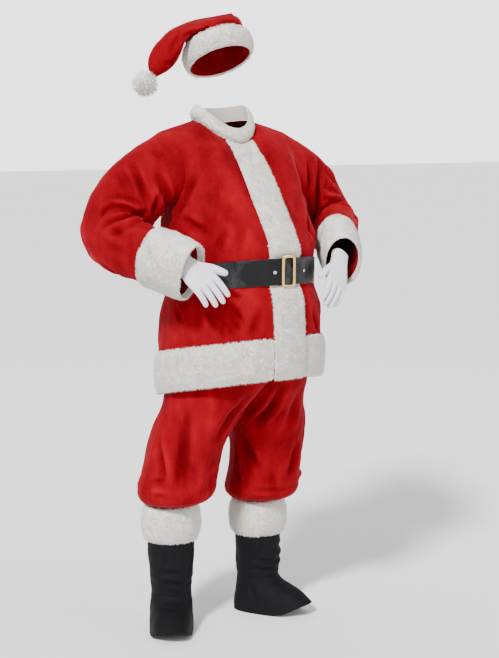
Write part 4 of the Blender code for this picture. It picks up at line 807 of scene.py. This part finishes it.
trims = {
    "hem_trim_back": ("hemBack", torsoAxis), "hem_trim_front_left": ("hemFrontLeft", torsoAxis),
    "hem_trim_front_right": ("hemFrontRight", torsoAxis), "front_trim": ("frontTrim", torsoAxis),
    "collar": ("collarBand", [(0, -0.010, 0.05), (0, -0.010, 0.20)]),
    "cuff_left": ("cuffLeft", sleeves["left"]["axis"][-2:]),
    "cuff_right": ("cuffRight", sleeves["right"]["axis"][-2:]),
    "boot_cuff_left": ("bootCuffLeft", legLine("left", -1.2, -0.9)),
    "boot_cuff_right": ("bootCuffRight", legLine("right", -1.2, -0.9)),
    "hat_band": ("hatBand", [(0, 0.002, 0.28), (0, 0.040, 0.37)]),
}
trimDents = {
    "cuff_right": [
        ([(-0.362, -0.160, -0.205), (-0.356, -0.200, -0.240), (-0.336, -0.240, -0.285)], 0.016, -0.0042),
        ([(-0.310, -0.190, -0.170), (-0.326, -0.236, -0.196)], 0.013, -0.0030),
        ([(-0.250, -0.200, -0.300), (-0.268, -0.230, -0.330)], 0.014, -0.0030),
    ],
    "cuff_left": [
        ([(0.262, -0.262, -0.200), (0.300, -0.240, -0.232), (0.320, -0.200, -0.262)], 0.015, -0.0038),
        ([(0.300, -0.190, -0.170), (0.338, -0.160, -0.190)], 0.013, -0.0030),
        ([(0.230, -0.200, -0.300), (0.250, -0.180, -0.325)], 0.014, -0.0030),
    ],
    "hem_trim_front_right": [
        ([(-0.205, -0.215, -0.520), (-0.196, -0.232, -0.590)], 0.014, -0.0034),
        ([(-0.120, -0.318, -0.500), (-0.128, -0.312, -0.560)], 0.017, -0.0030),
        ([(-0.232, -0.130, -0.530), (-0.236, -0.122, -0.600)], 0.012, -0.0032),
    ],
    "hem_trim_front_left": [
        ([(0.130, -0.308, -0.500), (0.124, -0.312, -0.572)], 0.014, -0.0036),
        ([(0.205, -0.210, -0.520), (0.212, -0.202, -0.600)], 0.015, -0.0034),
    ],
    "hem_trim_back": [
        ([(-0.120, 0.130, -0.530), (-0.110, 0.132, -0.610)], 0.016, -0.0034),
        ([(-0.010, 0.142, -0.530), (-0.022, 0.142, -0.600)], 0.013, -0.0030),
        ([(0.100, 0.134, -0.530), (0.114, 0.132, -0.620)], 0.017, -0.0036),
        ([(0.200, 0.070, -0.520), (0.194, 0.080, -0.610)], 0.012, -0.0030),
    ],
    "front_trim": [
        ([(-0.044, -0.262, -0.130), (0.000, -0.272, -0.160), (0.040, -0.264, -0.172)], 0.013, -0.0026),
        ([(-0.040, -0.345, -0.450), (0.010, -0.350, -0.440)], 0.014, -0.0030),
        ([(0.000, -0.345, -0.500), (0.006, -0.345, -0.570)], 0.013, -0.0030),
    ],
}
for number, (node, (name, axis)) in enumerate(trims.items()):
    furTrim(node, name, axis, 20 + number, trimDents.get(node, []))
print("fur trims made")


# Pompom: a ball of fur at the end of the hat's tail

pompom = {
    "radius": 0.024, "fill": 0.9,
    "pile": {"spacing": 0.0026, "length": 0.019, "lean": 0.55, "droop": 0.1},
}


def makePompom():
    low, high = (Vector(corner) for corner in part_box("pompom"))
    centre = (low + high) / 2
    bpy.ops.object.select_all(action="DESELECT")
    bpy.ops.mesh.primitive_ico_sphere_add(subdivisions=4, radius=pompom["radius"], location=centre)
    ball = bpy.context.active_object
    ball.name = "pompomBall"
    bpy.ops.object.transform_apply(location=True, rotation=True, scale=True)
    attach(ball, "root")
    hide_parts("pompom")
    finishWith(ball, fur)
    growFur(ball, "pompomPile", [centre, centre + Vector((0, 0, 0.0001))], 41, pompom["pile"])


makePompom()
print("pompom made")


# Boot covers

boots = {
    "shaftFlat": (0.44, 0.28), "footFlat": (0.50, 0.17), "top": {"right": -1.122, "left": -1.148},
    "fur": (0.0, 0.022), "ankle": -1.286, "ankleSeam": (0.0, 0.012), "lowerEdge": (-1.396, -1.380),
    "right": {
        "shaft": [
            ([(-0.105, 0.005, -1.246), (-0.160, -0.022, -1.254), (-0.210, 0.000, -1.244)], 0.009, -0.0040),
            ([(-0.222, 0.050, -1.222), (-0.200, -0.004, -1.212), (-0.160, -0.020, -1.220)], 0.010, -0.0034),
            ([(-0.120, -0.010, -1.140), (-0.124, -0.014, -1.195)], 0.011, -0.0026),
            ([(-0.200, -0.006, -1.140), (-0.206, -0.002, -1.200)], 0.010, -0.0026),
            ([(-0.190, 0.100, -1.215), (-0.140, 0.108, -1.230)], 0.010, -0.0034),
        ],
        "foot": [
            ([(-0.160, -0.070, -1.310), (-0.210, -0.060, -1.306), (-0.240, -0.020, -1.316)], 0.012, -0.0032),
            ([(-0.215, 0.075, -1.310), (-0.225, 0.060, -1.350)], 0.010, -0.0026),
            ([(-0.105, 0.020, -1.310), (-0.110, 0.000, -1.350)], 0.010, -0.0026),
        ],
    },
    "left": {
        "shaft": [
            ([(0.110, 0.000, -1.222), (0.160, -0.020, -1.236), (0.205, 0.000, -1.230),
              (0.222, 0.045, -1.212)], 0.010, -0.0044),
            ([(0.108, 0.010, -1.256), (0.165, -0.022, -1.264), (0.210, -0.002, -1.260)], 0.008, -0.0036),
            ([(0.222, 0.060, -1.188), (0.200, 0.000, -1.198), (0.165, -0.020, -1.192)], 0.010, -0.0032),
            ([(0.130, -0.015, -1.160), (0.134, -0.018, -1.196)], 0.010, -0.0024),
            ([(0.150, 0.110, -1.220), (0.192, 0.100, -1.208)], 0.010, -0.0034),
        ],
        "foot": [
            ([(0.150, -0.060, -1.312), (0.200, -0.065, -1.306), (0.235, -0.035, -1.314)], 0.012, -0.0034),
            ([(0.110, 0.010, -1.310), (0.120, 0.000, -1.352)], 0.010, -0.0026),
            ([(0.212, 0.080, -1.306), (0.222, 0.062, -1.348)], 0.009, -0.0026),
        ],
    },
}


def bootCalm(spots):
    # what the fur covers, the ankle's seam and the lower edge lie still
    x, _, z = spots.T
    top = np.where(x < 0, boots["top"]["right"], boots["top"]["left"])
    offSeam = ramp(*boots["ankleSeam"], np.abs(z - boots["ankle"]))
    return offSeam * ramp(*boots["fur"], top - z) * ramp(*boots["lowerEdge"], z)


for side, way in sides.items():
    for part in ("shaft", "foot"):
        piece = copyNode(f"boot_{part}_{side}", f"boot{part.title()}{side.title()}")
        refine(piece, 3)
        drape(piece, legLine(side, -1.40, -1.00), boots[side][part], bootCalm,
              bumpSize=0.040, bumpHeight=0.0020, seed=12.0 + way)
        finishWith(piece, bootCloth)
print("boot covers made")


# Gloves

for side in sides:
    glove = copyNode(f"glove_{side}", f"glove{side.title()}")
    refine(glove, 3, crisp=False)
    finishWith(glove, knit)
print("gloves made")


# Belt

belt = {
    "belt_strap": ("beltStrap", glossyStrap, "glossy_strap", (1.40, 0.076), "stretched", "jacket_back"),
    "belt_tongue": ("beltTongue", mattStrap, "matt_strap", (0.126, 0.072), "laid", "belt_strap"),
}
for node, (name, material, slot, flat, held, under) in belt.items():
    band = copyNode(node, name)
    refine(band, 3)
    finishWith(band, material)
buckle = copyNode("buckle_frame", "buckle")
refine(buckle, 3, crisp=False)
finishWith(buckle, gold)
for node in ("belt_rivet", "belt_snap"):
    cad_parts[node].data.materials.clear()
    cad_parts[node].data.materials.append(silver)
print("belt made")


# Floor, light and camera

def makeFloor():
    bpy.ops.object.select_all(action="DESELECT")
    bpy.ops.mesh.primitive_plane_add(size=80, location=(0, 0, floorLevel))
    floor = bpy.context.active_object
    floor.name = "floor"
    paint = Finish("pale floor", Roughness=0.9, Base_Color=(0.93, 0.93, 0.93, 1), Specular_IOR_Level=0.1)
    floor.data.materials.append(paint.material)


lights = {
    "key": {"place": (-3.4, -2.2, 3.4), "strength": 5.2, "angle": 8},
    "fill": {"place": (2.0, -3.6, 1.2), "strength": 0.8, "angle": 25},
    "rim": {"place": (1.6, 3.2, 2.4), "target": (0, 0, -0.3), "strength": 40, "size": 2.0},
    "sky": {"seen": 2.8, "light": 0.78},
}


def makeLamp(name, kind, place, strength, target=(0, 0, 0)):
    lamp = bpy.data.lights.new(name, kind)
    lamp.energy = strength
    holder = addToScene(name, lamp)
    holder.location = place
    holder.rotation_euler = (Vector(target) - Vector(place)).to_track_quat("-Z", "Y").to_euler()
    return lamp


def makeLamps():
    for name in ("key", "fill"):
        sun = makeLamp(name, "SUN", lights[name]["place"], lights[name]["strength"])
        sun.angle = math.radians(lights[name]["angle"])
    rim = makeLamp("rim", "AREA", lights["rim"]["place"], lights["rim"]["strength"], lights["rim"]["target"])
    rim.size = lights["rim"]["size"]


view = {
    "place": (-2.381, -3.676, 0.12), "turn": -34.0, "pitch": 7.95, "sensor": 24.0,
    "focal": 1470.0, "height": 658.0,    # in the picture's pixels
}


def makeCamera():
    lens = bpy.data.cameras.new("camera")
    lens.sensor_fit = "VERTICAL"
    lens.sensor_height = view["sensor"]
    lens.lens = view["sensor"] * view["focal"] / view["height"]
    camera = addToScene("camera", lens)
    camera.location = view["place"]
    camera.rotation_euler = (math.radians(90 - view["pitch"]), 0, math.radians(view["turn"]))
    bpy.context.scene.camera = camera


def makeSky():
    # a white backdrop for the camera, and a dimmer sky that lights the cloth
    world = bpy.data.worlds.new("studio")
    world.use_nodes = True
    sky = Wiring(world.node_tree)
    sky.tree.nodes.remove(sky.tree.nodes["Background"])
    backdrop, dimmer = (sky.add("ShaderNodeBackground", {}, {
        "Color": (1, 1, 1, 1), "Strength": lights["sky"][use]}) for use in ("seen", "light"))
    seen = sky.add("ShaderNodeLightPath", {}, {}, "Is Camera Ray")
    mixed = sky.add("ShaderNodeMixShader", {}, {0: seen, 1: dimmer, 2: backdrop})
    sky.tree.links.new(mixed.socket, sky.tree.nodes["World Output"].inputs["Surface"])
    bpy.context.scene.world = world


makeFloor()
makeLamps()
makeSky()
makeCamera()
print("stage set")
